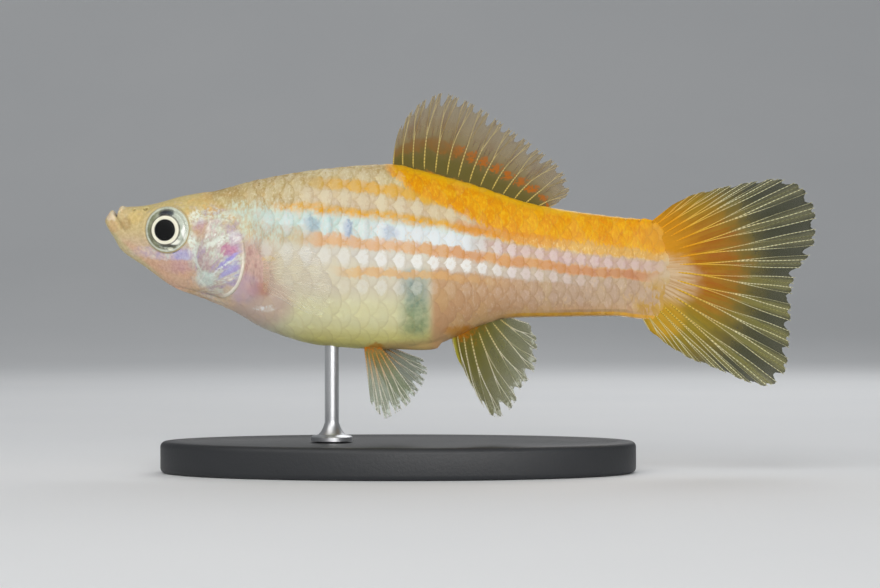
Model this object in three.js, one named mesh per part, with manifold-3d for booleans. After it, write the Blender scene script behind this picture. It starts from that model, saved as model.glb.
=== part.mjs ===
// A female swordtail, life size, held up in a swimming pose by one short rod on a flat base.
// Millimetres, +Z up. The fish looks along -X, and its left side faces -Y.
// Inside the fish's own group, x runs back from the snout tip and z is measured from the body's axis.
import * as THREE from 'three';
import { mergeVertices } from 'three/addons/utils/BufferGeometryUtils.js';
import Module from 'manifold-3d';

const wasm = await Module();
wasm.setup();

// Driving sizes
const bodyLength = 71.9; // snout tip to the end of the flesh
const gap = 0.3; // kept between pieces that touch
const snoutTip = { length: 0.9, height: 4.5 }; // length over which the snout closes, height of its tip
const fleshEnd = { start: 68, height: -1.2, roundness: 2.4, sharpness: 8 }; // closes from start on
const ringSides = 32;
const wallReach = 12; // farther out to each side than any flesh

// Outlines of the body, each a short list of [x, value]
const backLine = [
  [0, 5.35], [1.1, 5.8], [2.4, 6.32], [4.6, 6.45], [9.6, 7.66], [14.3, 8.55], [19, 9.8],
  [27.4, 11.22], [36, 11.85], [40, 11.0], [46.2, 9.34], [54.2, 6.75], [62.5, 5.45], [68, 4.95],
  [bodyLength, 4.9],
];
const bellyLine = [
  [0, 3.9], [1, 2.6], [2, 0.9], [4.8, -1.1], [9, -4.0], [12.6, -5.3], [15, -6.3], [20.9, -9.5],
  [27.4, -11.27], [34.7, -11.75], [41, -11.35], [44, -10.3], [47.5, -8.7], [51, -7.85],
  [57.4, -7.7], [64.3, -7.6], [67, -7.9], [bodyLength, -8.4],
];
const halfWidthLine = [
  [0, 1.75], [2.4, 2.15], [5, 2.8], [8.2, 3.6], [12, 4.4], [18, 5.2], [26, 5.9], [33, 6.0],
  [40, 5.2], [46, 4.15], [54, 3.05], [62, 2.1], [68, 1.25], [bodyLength, 0.85],
];
const widestHeightLine = [
  [0, 4.4], [4, 4.0], [8.2, 2.9], [14, 0.4], [25, -2.2], [35, -2.8], [43, -1.8], [52, -0.8],
  [bodyLength, -1.2],
];
// How square the section is above and below its widest height: 2 is an ellipse
const upperSquare = [
  [0, 2.2], [4.5, 2.7], [9, 2.8], [14, 2.3], [22, 2.0], [36, 1.85], [50, 1.9], [bodyLength, 2.1],
];
const lowerSquare = [[0, 2.2], [6, 1.75], [12, 1.8], [18, 2.0], [34, 2.2], [46, 1.9], [bodyLength, 2.1]];

// Head
const eye = { x: 8.2, height: 3.4, radius: 2.9, dome: 0.85, depth: 1.7, sunk: 0.4, sides: 24, rings: 5 };
const gillCover = {
  proud: 0.22, thickness: 0.75, inner: 1, steps: 28, centre: [14.6, 0.2],
  outline: [[11.6, -2.8], [11.3, 0.6], [11.9, 3.4], [13.6, 5.3], [15.8, 5.5], [17.3, 3.8], [18, 1.2],
    [17.9, -1.6], [17, -3.9], [15.4, -5.1], [13.3, -4.6]],
};
const nostrils = [{ x: 3.9, turn: 0.8, radius: 0.2 }, { x: 5.3, turn: 0.86, radius: 0.3 }];
const vent = { x: 41.2, length: 1.3, radius: 0.55, sides: 10 };
const lip = { x: 2, radius: 0.36, offset: 0.4, cornerTurn: -0.62, sunk: 0.12, sides: 8, points: 12, steps: 18 };
// Centre line of the mouth slit, from over the snout down to its corner
const mouthLine = [[1.5, 7.2], [1.5, 5.6], [1.72, 4.9], [2.3, 3.9], [2.75, 3.0]];
const mouthWidths = [1.1, 0.62, 0.36, 0.32, gap];

// Thin cuts that part the body into the pieces a person would name
const jawCut = [[2.75, 3.05], [3.0, 1.5], [3.4, -3]];
const gillCut = [
  [14.6, 13], [15, 7.2], [16.2, 4.6], [16.9, 1.2], [16.7, -1.6], [15.9, -3.6], [14.4, -5.2], [12.9, -9],
];
const tailCut = [[57.4, 9], [55.6, 5], [51.6, -6], [50.6, -12]];

// Fins: rays, where the base starts and ends along the body, and the outer edge as [x, z]
const web = { half: 0.25, tipHalf: 0.16, thinFrom: 0.75 }; // half the thickness between the rays
const ray = { base: 0.24, tip: 0.1, fork: 0.45, spread: [0.1, 0.27] }; // ridge height, and how it forks
const leanReach = 12; // height at which a fin leans over by its whole lean
const dorsal = {
  rays: 14, start: 36.3, end: 55, sink: 1.2, rows: 5, notch: 0.035, bow: 0.05, lean: 0.7,
  edge: [[37.2, 16.3], [39, 18.9], [41.3, 20.4], [43.4, 20.8], [47.3, 19], [51.4, 16.2], [54.8, 13.7],
    [57.5, 11.4], [58.6, 8.9], [58.2, 7.6], [56.9, 6.7]],
};
const anal = {
  rays: 9, start: 43.6, end: 49.7, sink: -1.2, rows: 5, notch: 0.07, bow: -0.04, lean: -0.5,
  edge: [[44.7, -13.3], [47.3, -18.2], [48.8, -20.1], [50.3, -20.1], [51.7, -18.6], [52.6, -16.6],
    [54.1, -14.8], [54.6, -12.3], [54.4, -9.7], [53.5, -8.3]],
};
const caudal = {
  rays: 19, rows: 5, notch: 0.03, bow: 0,
  root: [[67.6, 3.4], [69.4, 0.6], [69.4, -3], [67, -6.4]],
  edge: [[71.6, 6.6], [74.2, 7.9], [78, 8.85], [81.6, 9.5], [85.1, 9.95], [88, 9], [89.7, 6.6],
    [89.95, 3.6], [89.5, 0.8], [87.6, -1.9], [86.8, -5.5], [86.6, -11], [85.8, -15], [83, -16.35],
    [77, -14.1], [73.7, -12.8], [70.7, -10.9], [68.6, -9.2]],
  end: 90, bend: 1.4, // its rear edge swings this far to the fish's right
};
const pelvic = {
  rays: 6, rows: 4, notch: 0.09, bow: 0, start: 32.7, end: 34.4, sink: -0.9, rootY: 1.5, splay: 0.28,
  leftEdge: [[33.6, -18.4], [35.2, -20.2], [36.2, -20.0], [38.1, -18.8], [39.3, -17.3]],
  rightEdge: [[36.6, -18.9], [38.6, -18.1], [39.7, -17], [40.3, -15.9], [40.7, -14.4], [40.3, -13.0]],
};
const pectoral = {
  rays: 9, rows: 4, notch: 0.03, bow: 0, rootX: 20.4, rootTop: -0.6, rootBottom: -4.2, splay: 0.45,
  edge: [[23.2, 0.8], [26.2, 0.9], [28, -0.7], [28.9, -3], [28.9, -5.3], [27.9, -7.3], [25.6, -6.9],
    [22.8, -5.4]],
  lobe: { x: 1, y: 1, z: 2.4 },
};

// Stand
const base = { length: 60, width: 30, thickness: 4, bevel: 0.6, x: -8 };
const rod = { x: 28.6, radius: 0.9, foot: [[2.6, 0], [2.6, 0.6], [1.35, 1.2], [0.9, 2.2]], over: 1.5, sides: 20 };
const finClearance = 3; // lowest fin tip over the base
const lowestFin = 20.2; // lowest fin tip under the body axis
const fishHeight = base.thickness + finClearance + lowestFin;

// Cubic curve through [x, value] points that never overshoots them
function curveThrough(points) {
  const slope = (i) => (points[i + 1][1] - points[i][1]) / (points[i + 1][0] - points[i][0]);
  const last = points.length - 1;
  const tangents = points.map((_, i) => {
    if (i === 0) return slope(0);
    if (i === last) return slope(last - 1);
    const before = slope(i - 1);
    const after = slope(i);
    return before * after <= 0 ? 0 : (2 * before * after) / (before + after);
  });
  return (x) => {
    const at = THREE.MathUtils.clamp(x, points[0][0], points[last][0]);
    let i = 0;
    while (i < last - 1 && at > points[i + 1][0]) i++;
    const span = points[i + 1][0] - points[i][0];
    const t = (at - points[i][0]) / span;
    const rise = points[i + 1][1] - points[i][1];
    const a = tangents[i] * span - rise;
    const b = -tangents[i + 1] * span + rise;
    return points[i][1] + t * rise + t * (1 - t) * ((1 - t) * a + t * b);
  };
}

const back = curveThrough(backLine);
const belly = curveThrough(bellyLine);
const halfWidth = curveThrough(halfWidthLine);
const widestHeight = curveThrough(widestHeightLine);
const upper = curveThrough(upperSquare);
const lower = curveThrough(lowerSquare);

// Top, bottom, half width and widest height of the body at x, with both ends rounded
function section(x) {
  const front = Math.min(x / snoutTip.length, 1);
  const snout = Math.sqrt(1 - (1 - front) ** 2);
  const rear = THREE.MathUtils.clamp((x - fleshEnd.start) / (bodyLength - fleshEnd.start), 0, 1);
  const height = Math.sqrt(1 - rear ** fleshEnd.roundness);
  const close = (value) => {
    const ahead = snoutTip.height + (value - snoutTip.height) * snout;
    return fleshEnd.height + (ahead - fleshEnd.height) * height;
  };
  return {
    top: close(back(x)),
    bottom: close(belly(x)),
    middle: close(widestHeight(x)),
    halfWidth: halfWidth(x) * snout * Math.sqrt(1 - rear ** fleshEnd.sharpness),
  };
}

// A point on the body's surface at x; turn is 0 on the right side and a quarter turn on the back
function bodyPoint(x, turn, grow = 0) {
  const s = section(x);
  const across = Math.cos(turn);
  const rise = Math.sin(turn);
  const power = 2 / (rise > 0 ? upper(x) : lower(x));
  const reach = rise > 0 ? s.top - s.middle : s.middle - s.bottom;
  return new THREE.Vector3(
    x,
    (s.halfWidth + grow) * Math.sign(across) * Math.abs(across) ** power,
    s.middle + (reach + grow) * Math.sign(rise) * Math.abs(rise) ** power,
  );
}

// Half the body's width at a height, or less than zero outside it
function sideAt(x, z) {
  const s = section(x);
  const over = z > s.middle;
  const share = Math.abs(z - s.middle) / (over ? s.top - s.middle : s.middle - s.bottom);
  const square = over ? upper(x) : lower(x);
  return share >= 1 ? -1 : s.halfWidth * (1 - share ** square) ** (1 / square);
}

// A geometry from points and triangles
function geometryOf(points, faces) {
  const geometry = new THREE.BufferGeometry();
  geometry.setAttribute('position', new THREE.Float32BufferAttribute(points.flat(), 3));
  geometry.setIndex(faces.flat());
  return geometry;
}

// A closed geometry as a solid that can be joined and cut
function solidOf(geometry) {
  const bare = geometry.clone();
  bare.deleteAttribute('normal');
  bare.deleteAttribute('uv');
  const merged = mergeVertices(bare, 1e-4);
  return new wasm.Manifold(new wasm.Mesh({
    numProp: 3,
    vertProperties: new Float32Array(merged.attributes.position.array),
    triVerts: new Uint32Array(merged.index.array),
  }));
}

// The largest closed surface of a solid, as a geometry
function geometryFrom(solid) {
  const largest = solid.decompose().reduce((a, b) => (a.volume() > b.volume() ? a : b));
  const mesh = largest.getMesh();
  const geometry = new THREE.BufferGeometry();
  geometry.setAttribute('position', new THREE.BufferAttribute(mesh.vertProperties, 3));
  geometry.setIndex(new THREE.BufferAttribute(mesh.triVerts, 1));
  geometry.computeVertexNormals();
  return geometry;
}

// Ring positions along the body: close together on the snout and where the flesh ends
function stations() {
  const places = [0.04, 0.2, 0.45, 0.8, 1.2, 1.7, 2.3, 3];
  for (let x = 3.9; x < 20; x += 1) places.push(x);
  for (let x = 21; x < fleshEnd.start; x += 1.9) places.push(x);
  for (const share of [0, 0.3, 0.55, 0.75, 0.88, 0.96, 0.995]) {
    places.push(THREE.MathUtils.lerp(fleshEnd.start, bodyLength, share));
  }
  return places;
}

// The whole body as one closed loft, larger or smaller by grow
function bodySolid(grow = 0) {
  const stretch = (bodyLength + 2 * grow) / bodyLength;
  const points = [[-grow, 0, snoutTip.height]];
  for (const x of stations()) {
    for (let k = 0; k < ringSides; k++) {
      const p = bodyPoint(x, (k / ringSides) * Math.PI * 2, grow);
      points.push([x * stretch - grow, p.y, p.z]);
    }
  }
  const end = points.push([bodyLength + grow, 0, fleshEnd.height]) - 1;
  const rings = stations().length;
  const at = (ring, k) => 1 + ring * ringSides + (k % ringSides);
  const faces = [];
  for (let k = 0; k < ringSides; k++) {
    faces.push([0, at(0, k + 1), at(0, k)]);
    faces.push([end, at(rings - 1, k), at(rings - 1, k + 1)]);
    for (let ring = 0; ring < rings - 1; ring++) {
      faces.push([at(ring, k), at(ring, k + 1), at(ring + 1, k)]);
      faces.push([at(ring, k + 1), at(ring + 1, k + 1), at(ring + 1, k)]);
    }
  }
  return solidOf(geometryOf(points, faces));
}

const curve2 = (points) => new THREE.SplineCurve(points.map(([x, z]) => new THREE.Vector2(x, z)));

// An outline in x and z, drawn out across the body from one y to another
function acrossBody(outline, fromY, toY) {
  const geometry = new THREE.ExtrudeGeometry(new THREE.Shape(outline), {
    depth: toY - fromY, bevelEnabled: false,
  });
  geometry.rotateX(Math.PI / 2);
  geometry.translate(0, toY, 0);
  return solidOf(geometry);
}

// A thin wall across the whole body that follows a line, with a width at each of its points
function wallAlong(line, widths, steps = 24) {
  const path = curve2(line);
  const widthAt = curveThrough(widths.map((w, i) => [i / (widths.length - 1), w]));
  const sides = [[], []];
  for (let i = 0; i <= steps; i++) {
    const p = path.getPoint(i / steps);
    const ahead = path.getTangent(i / steps);
    const out = new THREE.Vector2(-ahead.y, ahead.x).multiplyScalar(widthAt(i / steps) / 2);
    sides[0].push(p.clone().add(out));
    sides[1].unshift(p.clone().sub(out));
  }
  return acrossBody([...sides[0], ...sides[1]], -wallReach, wallReach);
}

const evenWidths = (line) => line.map(() => gap);

// Columns of a fin from front to rear: each ray is a stem with a branch on either side of it, and
// a column of web lies between two rays
function finColumns(rays) {
  const pitch = 1 / (rays - 1);
  const columns = [];
  for (let i = 0; i < rays; i++) {
    const single = i === 0 || i === rays - 1;
    if (i > 0) columns.push({ kind: 'web', at: (i - 0.5) * pitch, off: 0 });
    if (i > 0) columns.push({ kind: 'branch', at: i * pitch, off: -pitch, single });
    columns.push({ kind: 'stem', at: i * pitch, off: 0, single });
    if (i < rays - 1) columns.push({ kind: 'branch', at: i * pitch, off: pitch, single });
  }
  return columns;
}

// How far a ray stands out of the web on each face, at a share of its length
function ridge({ kind, single }, along) {
  if (kind === 'web' || (single && kind === 'branch')) return 0;
  const forked = along > ray.fork && !single;
  return forked === (kind === 'branch') ? THREE.MathUtils.lerp(ray.base, ray.tip, along) : 0;
}

// A fin whose rays run from a root curve to an outer edge; place sets each point out of the x-z plane.
// The rays are ridges in its two faces, and their tips reach past the web between them.
function finSolid({ rays, rows, notch, bow, root, edge, place }) {
  const tips = curve2(edge);
  const columns = finColumns(rays);
  const cut = { web: notch, stem: notch / 2, branch: 0 };
  const points = [[], []];
  for (const column of columns) {
    for (let r = 0; r <= rows; r++) {
      const along = r / rows;
      const spread = THREE.MathUtils.lerp(ray.spread[0], ray.spread[1], along);
      const across = column.at + column.off * spread;
      const from = root(across);
      const to = tips.getPointAt(across);
      const reach = column.single ? along : along - cut[column.kind] * along ** 4;
      const aside = new THREE.Vector2(from.y - to.y, to.x - from.x);
      const at = from.clone().lerp(to, reach).addScaledVector(aside, bow * 4 * reach * (1 - reach));
      const thin = Math.max(along - web.thinFrom, 0) / (1 - web.thinFrom);
      const half = THREE.MathUtils.lerp(web.half, web.tipHalf, thin) + ridge(column, along);
      const side = place(at);
      points[0].push([at.x, side - half, at.y]);
      points[1].push([at.x, side + half, at.y]);
    }
  }
  const far = points[0].length;
  const at = (c, r) => c * (rows + 1) + r;
  const lastColumn = columns.length - 1;
  const faces = [];
  for (let c = 0; c < lastColumn; c++) {
    for (let r = 0; r < rows; r++) {
      const [a, b, d, e] = [at(c, r), at(c + 1, r), at(c + 1, r + 1), at(c, r + 1)];
      faces.push([a, b, d], [a, d, e], [far + a, far + d, far + b], [far + a, far + e, far + d]);
    }
  }
  const rim = [];
  for (let c = 0; c <= lastColumn; c++) rim.push(at(c, 0));
  for (let r = 1; r <= rows; r++) rim.push(at(lastColumn, r));
  for (let c = lastColumn - 1; c >= 0; c--) rim.push(at(c, rows));
  for (let r = rows - 1; r > 0; r--) rim.push(at(0, r));
  rim.forEach((a, i) => {
    const b = rim[(i + 1) % rim.length];
    faces.push([b, a, far + a], [b, far + a, far + b]);
  });
  const solid = solidOf(geometryOf([...points[0], ...points[1]], faces));
  if (solid.volume() > 0) return solid;
  return solidOf(geometryOf([...points[0], ...points[1]], faces.map(([a, b, c]) => [a, c, b])));
}

const body = bodySolid();
const clearOfBody = bodySolid(gap);

// The eye: a shallow dome in front and a deeper bowl behind, turned about its own axis
function eyeSolid(side, grow = 0) {
  const profile = [];
  for (let i = 0; i <= 2 * eye.rings; i++) {
    const turn = (i / (2 * eye.rings)) * Math.PI;
    const reach = i <= eye.rings ? eye.depth : eye.dome;
    profile.push(new THREE.Vector2((eye.radius + grow) * Math.sin(turn), -(reach + grow) * Math.cos(turn)));
  }
  profile[0].x = 0;
  profile[2 * eye.rings].x = 0;
  const geometry = new THREE.LatheGeometry(profile, eye.sides);
  const step = 0.5;
  const here = new THREE.Vector3(eye.x, sideAt(eye.x, eye.height), eye.height);
  const along = new THREE.Vector3(step, sideAt(eye.x + step, eye.height) - here.y, 0);
  const up = new THREE.Vector3(0, sideAt(eye.x, eye.height + step) - here.y, step);
  const outward = up.cross(along).normalize();
  here.addScaledVector(outward, -eye.sunk);
  const turned = new THREE.Quaternion().setFromUnitVectors(
    new THREE.Vector3(0, 1, 0), new THREE.Vector3(outward.x, outward.y * side, outward.z));
  geometry.applyQuaternion(turned);
  geometry.translate(here.x, here.y * side, here.z);
  return solidOf(geometry);
}

// A rolled lip that follows the mouth's edge from one corner over the snout to the other, where both
// of its ends sink into the flesh
function lipSolid(offset) {
  const slit = curveThrough(mouthLine.map(([x, z]) => [z, x]).sort((a, b) => a[0] - b[0]));
  const path = [];
  for (let i = 0; i <= lip.points; i++) {
    const share = i / lip.points;
    const turn = lip.cornerTurn + (Math.PI - 2 * lip.cornerTurn) * share;
    const sink = -lip.sunk - 1.3 * lip.radius * Math.abs(2 * share - 1) ** 14;
    const height = bodyPoint(lip.x, turn).z;
    path.push(bodyPoint(slit(height) + offset, turn, sink));
  }
  const ring = new THREE.Shape();
  ring.absarc(0, 0, lip.radius, 0, Math.PI * 2);
  const roll = new THREE.ExtrudeGeometry(ring, {
    extrudePath: new THREE.CatmullRomCurve3(path), steps: lip.steps, curveSegments: lip.sides,
  });
  return solidOf(roll);
}

// A small pit for a nostril
function nostrilPit(nostril, side) {
  const p = bodyPoint(nostril.x, nostril.turn);
  const pit = new THREE.SphereGeometry(nostril.radius, 8, 6);
  pit.translate(p.x, p.y * side, p.z);
  return solidOf(pit);
}

// The gill cover's outline as a wall on one side, wider all round by grow
function coverOutline(side, grow = 0) {
  const centre = new THREE.Vector2(...gillCover.centre);
  const loop = curve2([...gillCover.outline, gillCover.outline[0]]);
  const rim = loop.getPoints(gillCover.steps).slice(0, -1);
  const wider = rim.map((p) => {
    const out = p.clone().sub(centre);
    return p.clone().add(out.setLength(grow));
  });
  return side < 0
    ? acrossBody(wider, -wallReach, -gillCover.inner)
    : acrossBody(wider, gillCover.inner, wallReach);
}

const coverInside = bodySolid(gillCover.proud - gillCover.thickness);
const coverBed = bodySolid(gillCover.proud - gillCover.thickness - gap);
const coverOutside = bodySolid(gillCover.proud);
const sides = { left: -1, right: 1 };

// Head, lower jaw, trunk and tail: one body, parted by thin cuts
let flesh = body.add(lipSolid(lip.offset)).add(lipSolid(-lip.offset));
const ventCone = new THREE.ConeGeometry(vent.radius, vent.length * 2, vent.sides);
ventCone.rotateZ(-Math.PI / 2);
ventCone.translate(vent.x, 0, belly(vent.x) + vent.radius / 2);
flesh = flesh.add(solidOf(ventCone));
flesh = flesh.subtract(wallAlong(mouthLine, mouthWidths));
for (const side of Object.values(sides)) {
  flesh = flesh.subtract(eyeSolid(side, gap));
  for (const nostril of nostrils) flesh = flesh.subtract(nostrilPit(nostril, side));
  flesh = flesh.subtract(coverOutline(side, gap).subtract(coverBed));
}
flesh = flesh.subtract(wallAlong(jawCut, evenWidths(jawCut)));
flesh = flesh.subtract(wallAlong(gillCut, evenWidths(gillCut)));
flesh = flesh.subtract(wallAlong(tailCut, evenWidths(tailCut)));
const pieces = flesh.decompose().sort((a, b) => b.volume() - a.volume()).slice(0, 4);
pieces.sort((a, b) => a.boundingBox().min[0] - b.boundingBox().min[0]);
const [lowerJaw, head, trunk, tail] = pieces;

// Fins along the middle of the body
const rootOn = (line, fin) => (across) => {
  const x = THREE.MathUtils.lerp(fin.start, fin.end, across);
  return new THREE.Vector2(x, line(x) - fin.sink);
};
const leanFrom = (line, fin) => (p) => fin.lean * ((p.y - line(p.x)) / leanReach) ** 2;
const dorsalFin = finSolid({ ...dorsal, root: rootOn(back, dorsal), place: leanFrom(back, dorsal) });
const analFin = finSolid({ ...anal, root: rootOn(belly, anal), place: leanFrom(belly, anal) });
const caudalRoot = curve2(caudal.root);
const caudalFin = finSolid({
  ...caudal,
  root: (across) => caudalRoot.getPointAt(across),
  place: (p) => caudal.bend * (Math.max(p.x - bodyLength, 0) / (caudal.end - bodyLength)) ** 2,
});

// Paired fins: they lean out from the side by their splay
function pelvicFin(side) {
  const edge = side < 0 ? pelvic.leftEdge : pelvic.rightEdge;
  const level = belly(pelvic.start);
  return finSolid({
    ...pelvic, edge, root: rootOn(belly, pelvic),
    place: (p) => side * (pelvic.rootY + pelvic.splay * Math.max(level - p.y, 0)),
  });
}

function pectoralFin(side) {
  const level = (pectoral.rootTop + pectoral.rootBottom) / 2;
  const clear = gap + web.half;
  const fan = finSolid({
    ...pectoral,
    root: (across) => new THREE.Vector2(
      pectoral.rootX, THREE.MathUtils.lerp(pectoral.rootTop, pectoral.rootBottom, across)),
    place: (p) => side * (sideAt(p.x, p.y) + clear + pectoral.splay * (p.x - pectoral.rootX)),
  });
  const lobe = new THREE.SphereGeometry(1, 10, 6);
  lobe.scale(pectoral.lobe.x, pectoral.lobe.y, pectoral.lobe.z);
  lobe.translate(pectoral.rootX, side * sideAt(pectoral.rootX, level), level);
  return fan.add(solidOf(lobe));
}

// Finishes as seen on the fish
const finish = (color, roughness, metalness = 0) => new THREE.MeshStandardMaterial({
  color, roughness, metalness,
});
const fleshTan = finish(0xcfb184, 0.4);
const trunkOrange = finish(0xe3b36a, 0.4);
const tailOrange = finish(0xe0972a, 0.4);
const gillSilver = finish(0xc9c3d2, 0.3, 0.2);
const finOlive = finish(0xb59a4a, 0.45);
const finPale = finish(0xd6d2b8, 0.45);
const eyeSilver = finish(0xb9bdb4, 0.15, 0.2);
const standBlack = finish(0x26282b, 0.45);
const standSteel = finish(0xb4b6b8, 0.3, 1);

const fish = new THREE.Group();
function addNode(parent, name, solid, material) {
  const mesh = new THREE.Mesh(geometryFrom(solid), material);
  mesh.name = name;
  parent.add(mesh);
}

addNode(fish, 'head', head, fleshTan);
addNode(fish, 'lower_jaw', lowerJaw, fleshTan);
addNode(fish, 'trunk', trunk, trunkOrange);
addNode(fish, 'tail', tail, tailOrange);
addNode(fish, 'dorsal_fin', dorsalFin.subtract(clearOfBody), finOlive);
addNode(fish, 'anal_fin', analFin.subtract(clearOfBody), finOlive);
addNode(fish, 'caudal_fin', caudalFin.subtract(clearOfBody), finOlive);
for (const [name, side] of Object.entries(sides)) {
  addNode(fish, `eye_${name}`, eyeSolid(side), eyeSilver);
  const cover = coverOutside.intersect(coverOutline(side)).subtract(coverInside);
  addNode(fish, `gill_cover_${name}`, cover, gillSilver);
  addNode(fish, `pectoral_fin_${name}`, pectoralFin(side).subtract(clearOfBody), finPale);
  addNode(fish, `pelvic_fin_${name}`, pelvicFin(side).subtract(clearOfBody), finPale);
}

// The fish is centred over the origin along its length
const fishBox = new THREE.Box3().setFromObject(fish);
const fishStart = -(fishBox.min.x + fishBox.max.x) / 2;
fish.position.set(fishStart, 0, fishHeight);

// Stand: a flat oval base, and a rod cut to the belly that it holds
const stand = new THREE.Group();
const plan = new THREE.Shape();
plan.absellipse(0, 0, base.length / 2 - base.bevel, base.width / 2 - base.bevel, 0, Math.PI * 2);
const plate = new THREE.ExtrudeGeometry(plan, {
  depth: base.thickness - 2 * base.bevel, curveSegments: 26,
  bevelThickness: base.bevel, bevelSize: base.bevel, bevelSegments: 1,
});
plate.translate(base.x, 0, base.bevel);
addNode(stand, 'stand_base', solidOf(plate), standBlack);

const rodTop = fishHeight + belly(rod.x) + rod.over;
const rodFoot = base.thickness + gap;
const footOutline = rod.foot.map(([r, z]) => [r, rodFoot + z]);
const rodProfile = [[0, rodFoot], ...footOutline, [rod.radius, rodTop], [0, rodTop]]
  .map(([r, z]) => new THREE.Vector2(r, z));
const rodTurned = new THREE.LatheGeometry(rodProfile, rod.sides);
rodTurned.rotateX(Math.PI / 2);
rodTurned.translate(fishStart + rod.x, 0, 0);
const raised = clearOfBody.translate([fishStart, 0, fishHeight]);
addNode(stand, 'stand_rod', solidOf(rodTurned).subtract(raised), standSteel);

const swordtail = new THREE.Group();
swordtail.add(fish, stand);
export default swordtail;
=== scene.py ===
# A female swordtail as a still, life-size model on a plain display stand
import math
import random
from bisect import bisect_right

import bmesh
import bpy
from mathutils import Matrix, Vector, noise


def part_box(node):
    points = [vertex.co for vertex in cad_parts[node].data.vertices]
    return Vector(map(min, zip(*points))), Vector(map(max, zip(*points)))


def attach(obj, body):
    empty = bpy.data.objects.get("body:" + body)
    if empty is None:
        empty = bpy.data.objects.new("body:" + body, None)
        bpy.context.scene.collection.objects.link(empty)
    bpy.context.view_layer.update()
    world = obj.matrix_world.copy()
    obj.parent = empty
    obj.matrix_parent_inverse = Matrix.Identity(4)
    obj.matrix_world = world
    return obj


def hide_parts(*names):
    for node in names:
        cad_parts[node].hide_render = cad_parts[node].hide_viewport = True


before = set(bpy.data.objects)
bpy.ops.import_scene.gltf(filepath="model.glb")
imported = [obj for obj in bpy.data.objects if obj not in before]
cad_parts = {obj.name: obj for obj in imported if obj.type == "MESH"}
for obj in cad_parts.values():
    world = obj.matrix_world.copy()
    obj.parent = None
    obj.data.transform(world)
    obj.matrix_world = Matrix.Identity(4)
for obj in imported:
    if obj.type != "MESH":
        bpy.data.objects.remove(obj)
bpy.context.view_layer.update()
mm = 0.001
weldGap = 1e-4
sides = {"left": -1, "right": 1}

# The body's lines in mm: x runs from the snout tip towards the tail, height is above the body's axis
body = {
    "length": 71.9,
    "snout": {"length": 0.9, "height": 4.5},
    "fleshEnd": {"start": 68, "height": -1.2, "roundness": 2.4, "sharpness": 8},
    "finBase": {"start": 62, "share": 0.42},
    "back": [[0, 5.35], [1.1, 5.8], [2.4, 6.32], [4.6, 6.45], [9.6, 7.66], [14.3, 8.55], [19, 9.8],
             [27.4, 11.22], [36, 11.85], [40, 11.0], [46.2, 9.34], [54.2, 6.75], [62.5, 5.45],
             [68, 4.95], [71.9, 4.9]],
    "belly": [[0, 3.9], [1, 2.6], [2, 0.9], [4.8, -1.1], [9, -4.0], [12.6, -5.3], [15, -6.3],
              [20.9, -9.5], [27.4, -11.27], [34.7, -11.75], [41, -11.35], [44, -10.3], [47.5, -8.7],
              [51, -7.85], [57.4, -7.7], [64.3, -7.6], [67, -7.9], [71.9, -8.4]],
    "halfWidth": [[0, 1.75], [2.4, 2.15], [5, 2.8], [8.2, 3.6], [12, 4.4], [18, 5.2], [26, 5.9],
                  [33, 6.0], [40, 5.2], [46, 4.15], [54, 3.05], [62, 2.1], [68, 1.25], [71.9, 0.85]],
    "widest": [[0, 4.4], [4, 4.0], [8.2, 2.9], [14, 0.4], [25, -2.2], [35, -2.8], [43, -1.8],
               [52, -0.8], [71.9, -1.2]],
    "upperSquare": [[0, 2.2], [4.5, 2.7], [9, 2.8], [14, 2.3], [22, 2.0], [36, 1.85], [50, 1.9],
                    [71.9, 2.1]],
    "lowerSquare": [[0, 2.2], [6, 1.75], [12, 1.8], [18, 2.0], [34, 2.2], [46, 1.9], [71.9, 2.1]],
}
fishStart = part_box("lower_jaw")[0].x / mm
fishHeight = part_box("trunk")[1].z / mm - max(point[1] for point in body["back"])
fishPlace = Matrix.Translation((fishStart * mm, 0, fishHeight * mm)) @ Matrix.Scale(mm, 4)


def blend(a, b, share):
    return a + (b - a) * share


def clamp(value, low=0.0, high=1.0):
    return min(max(value, low), high)


def step(low, high, value):
    share = clamp((value - low) / (high - low))
    return share * share * (3 - 2 * share)


def bump(value, centre, width):
    return math.exp(-(((value - centre) / width) ** 2))


# A cubic curve through points that never overshoots them
def curveThrough(points):
    xs = [p[0] for p in points]
    ys = [p[1] for p in points]
    slopes = [(ys[i + 1] - ys[i]) / (xs[i + 1] - xs[i]) for i in range(len(xs) - 1)]
    tangents = [slopes[0]]
    for before, after in zip(slopes, slopes[1:]):
        tangents.append(0 if before * after <= 0 else 2 * before * after / (before + after))
    tangents.append(slopes[-1])

    def curve(x):
        at = clamp(x, xs[0], xs[-1])
        i = min(bisect_right(xs, at) - 1, len(xs) - 2)
        span = xs[i + 1] - xs[i]
        t = (at - xs[i]) / span
        rise = ys[i + 1] - ys[i]
        a = tangents[i] * span - rise
        b = -tangents[i + 1] * span + rise
        return ys[i] + t * rise + t * (1 - t) * ((1 - t) * a + t * b)
    return curve


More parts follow.
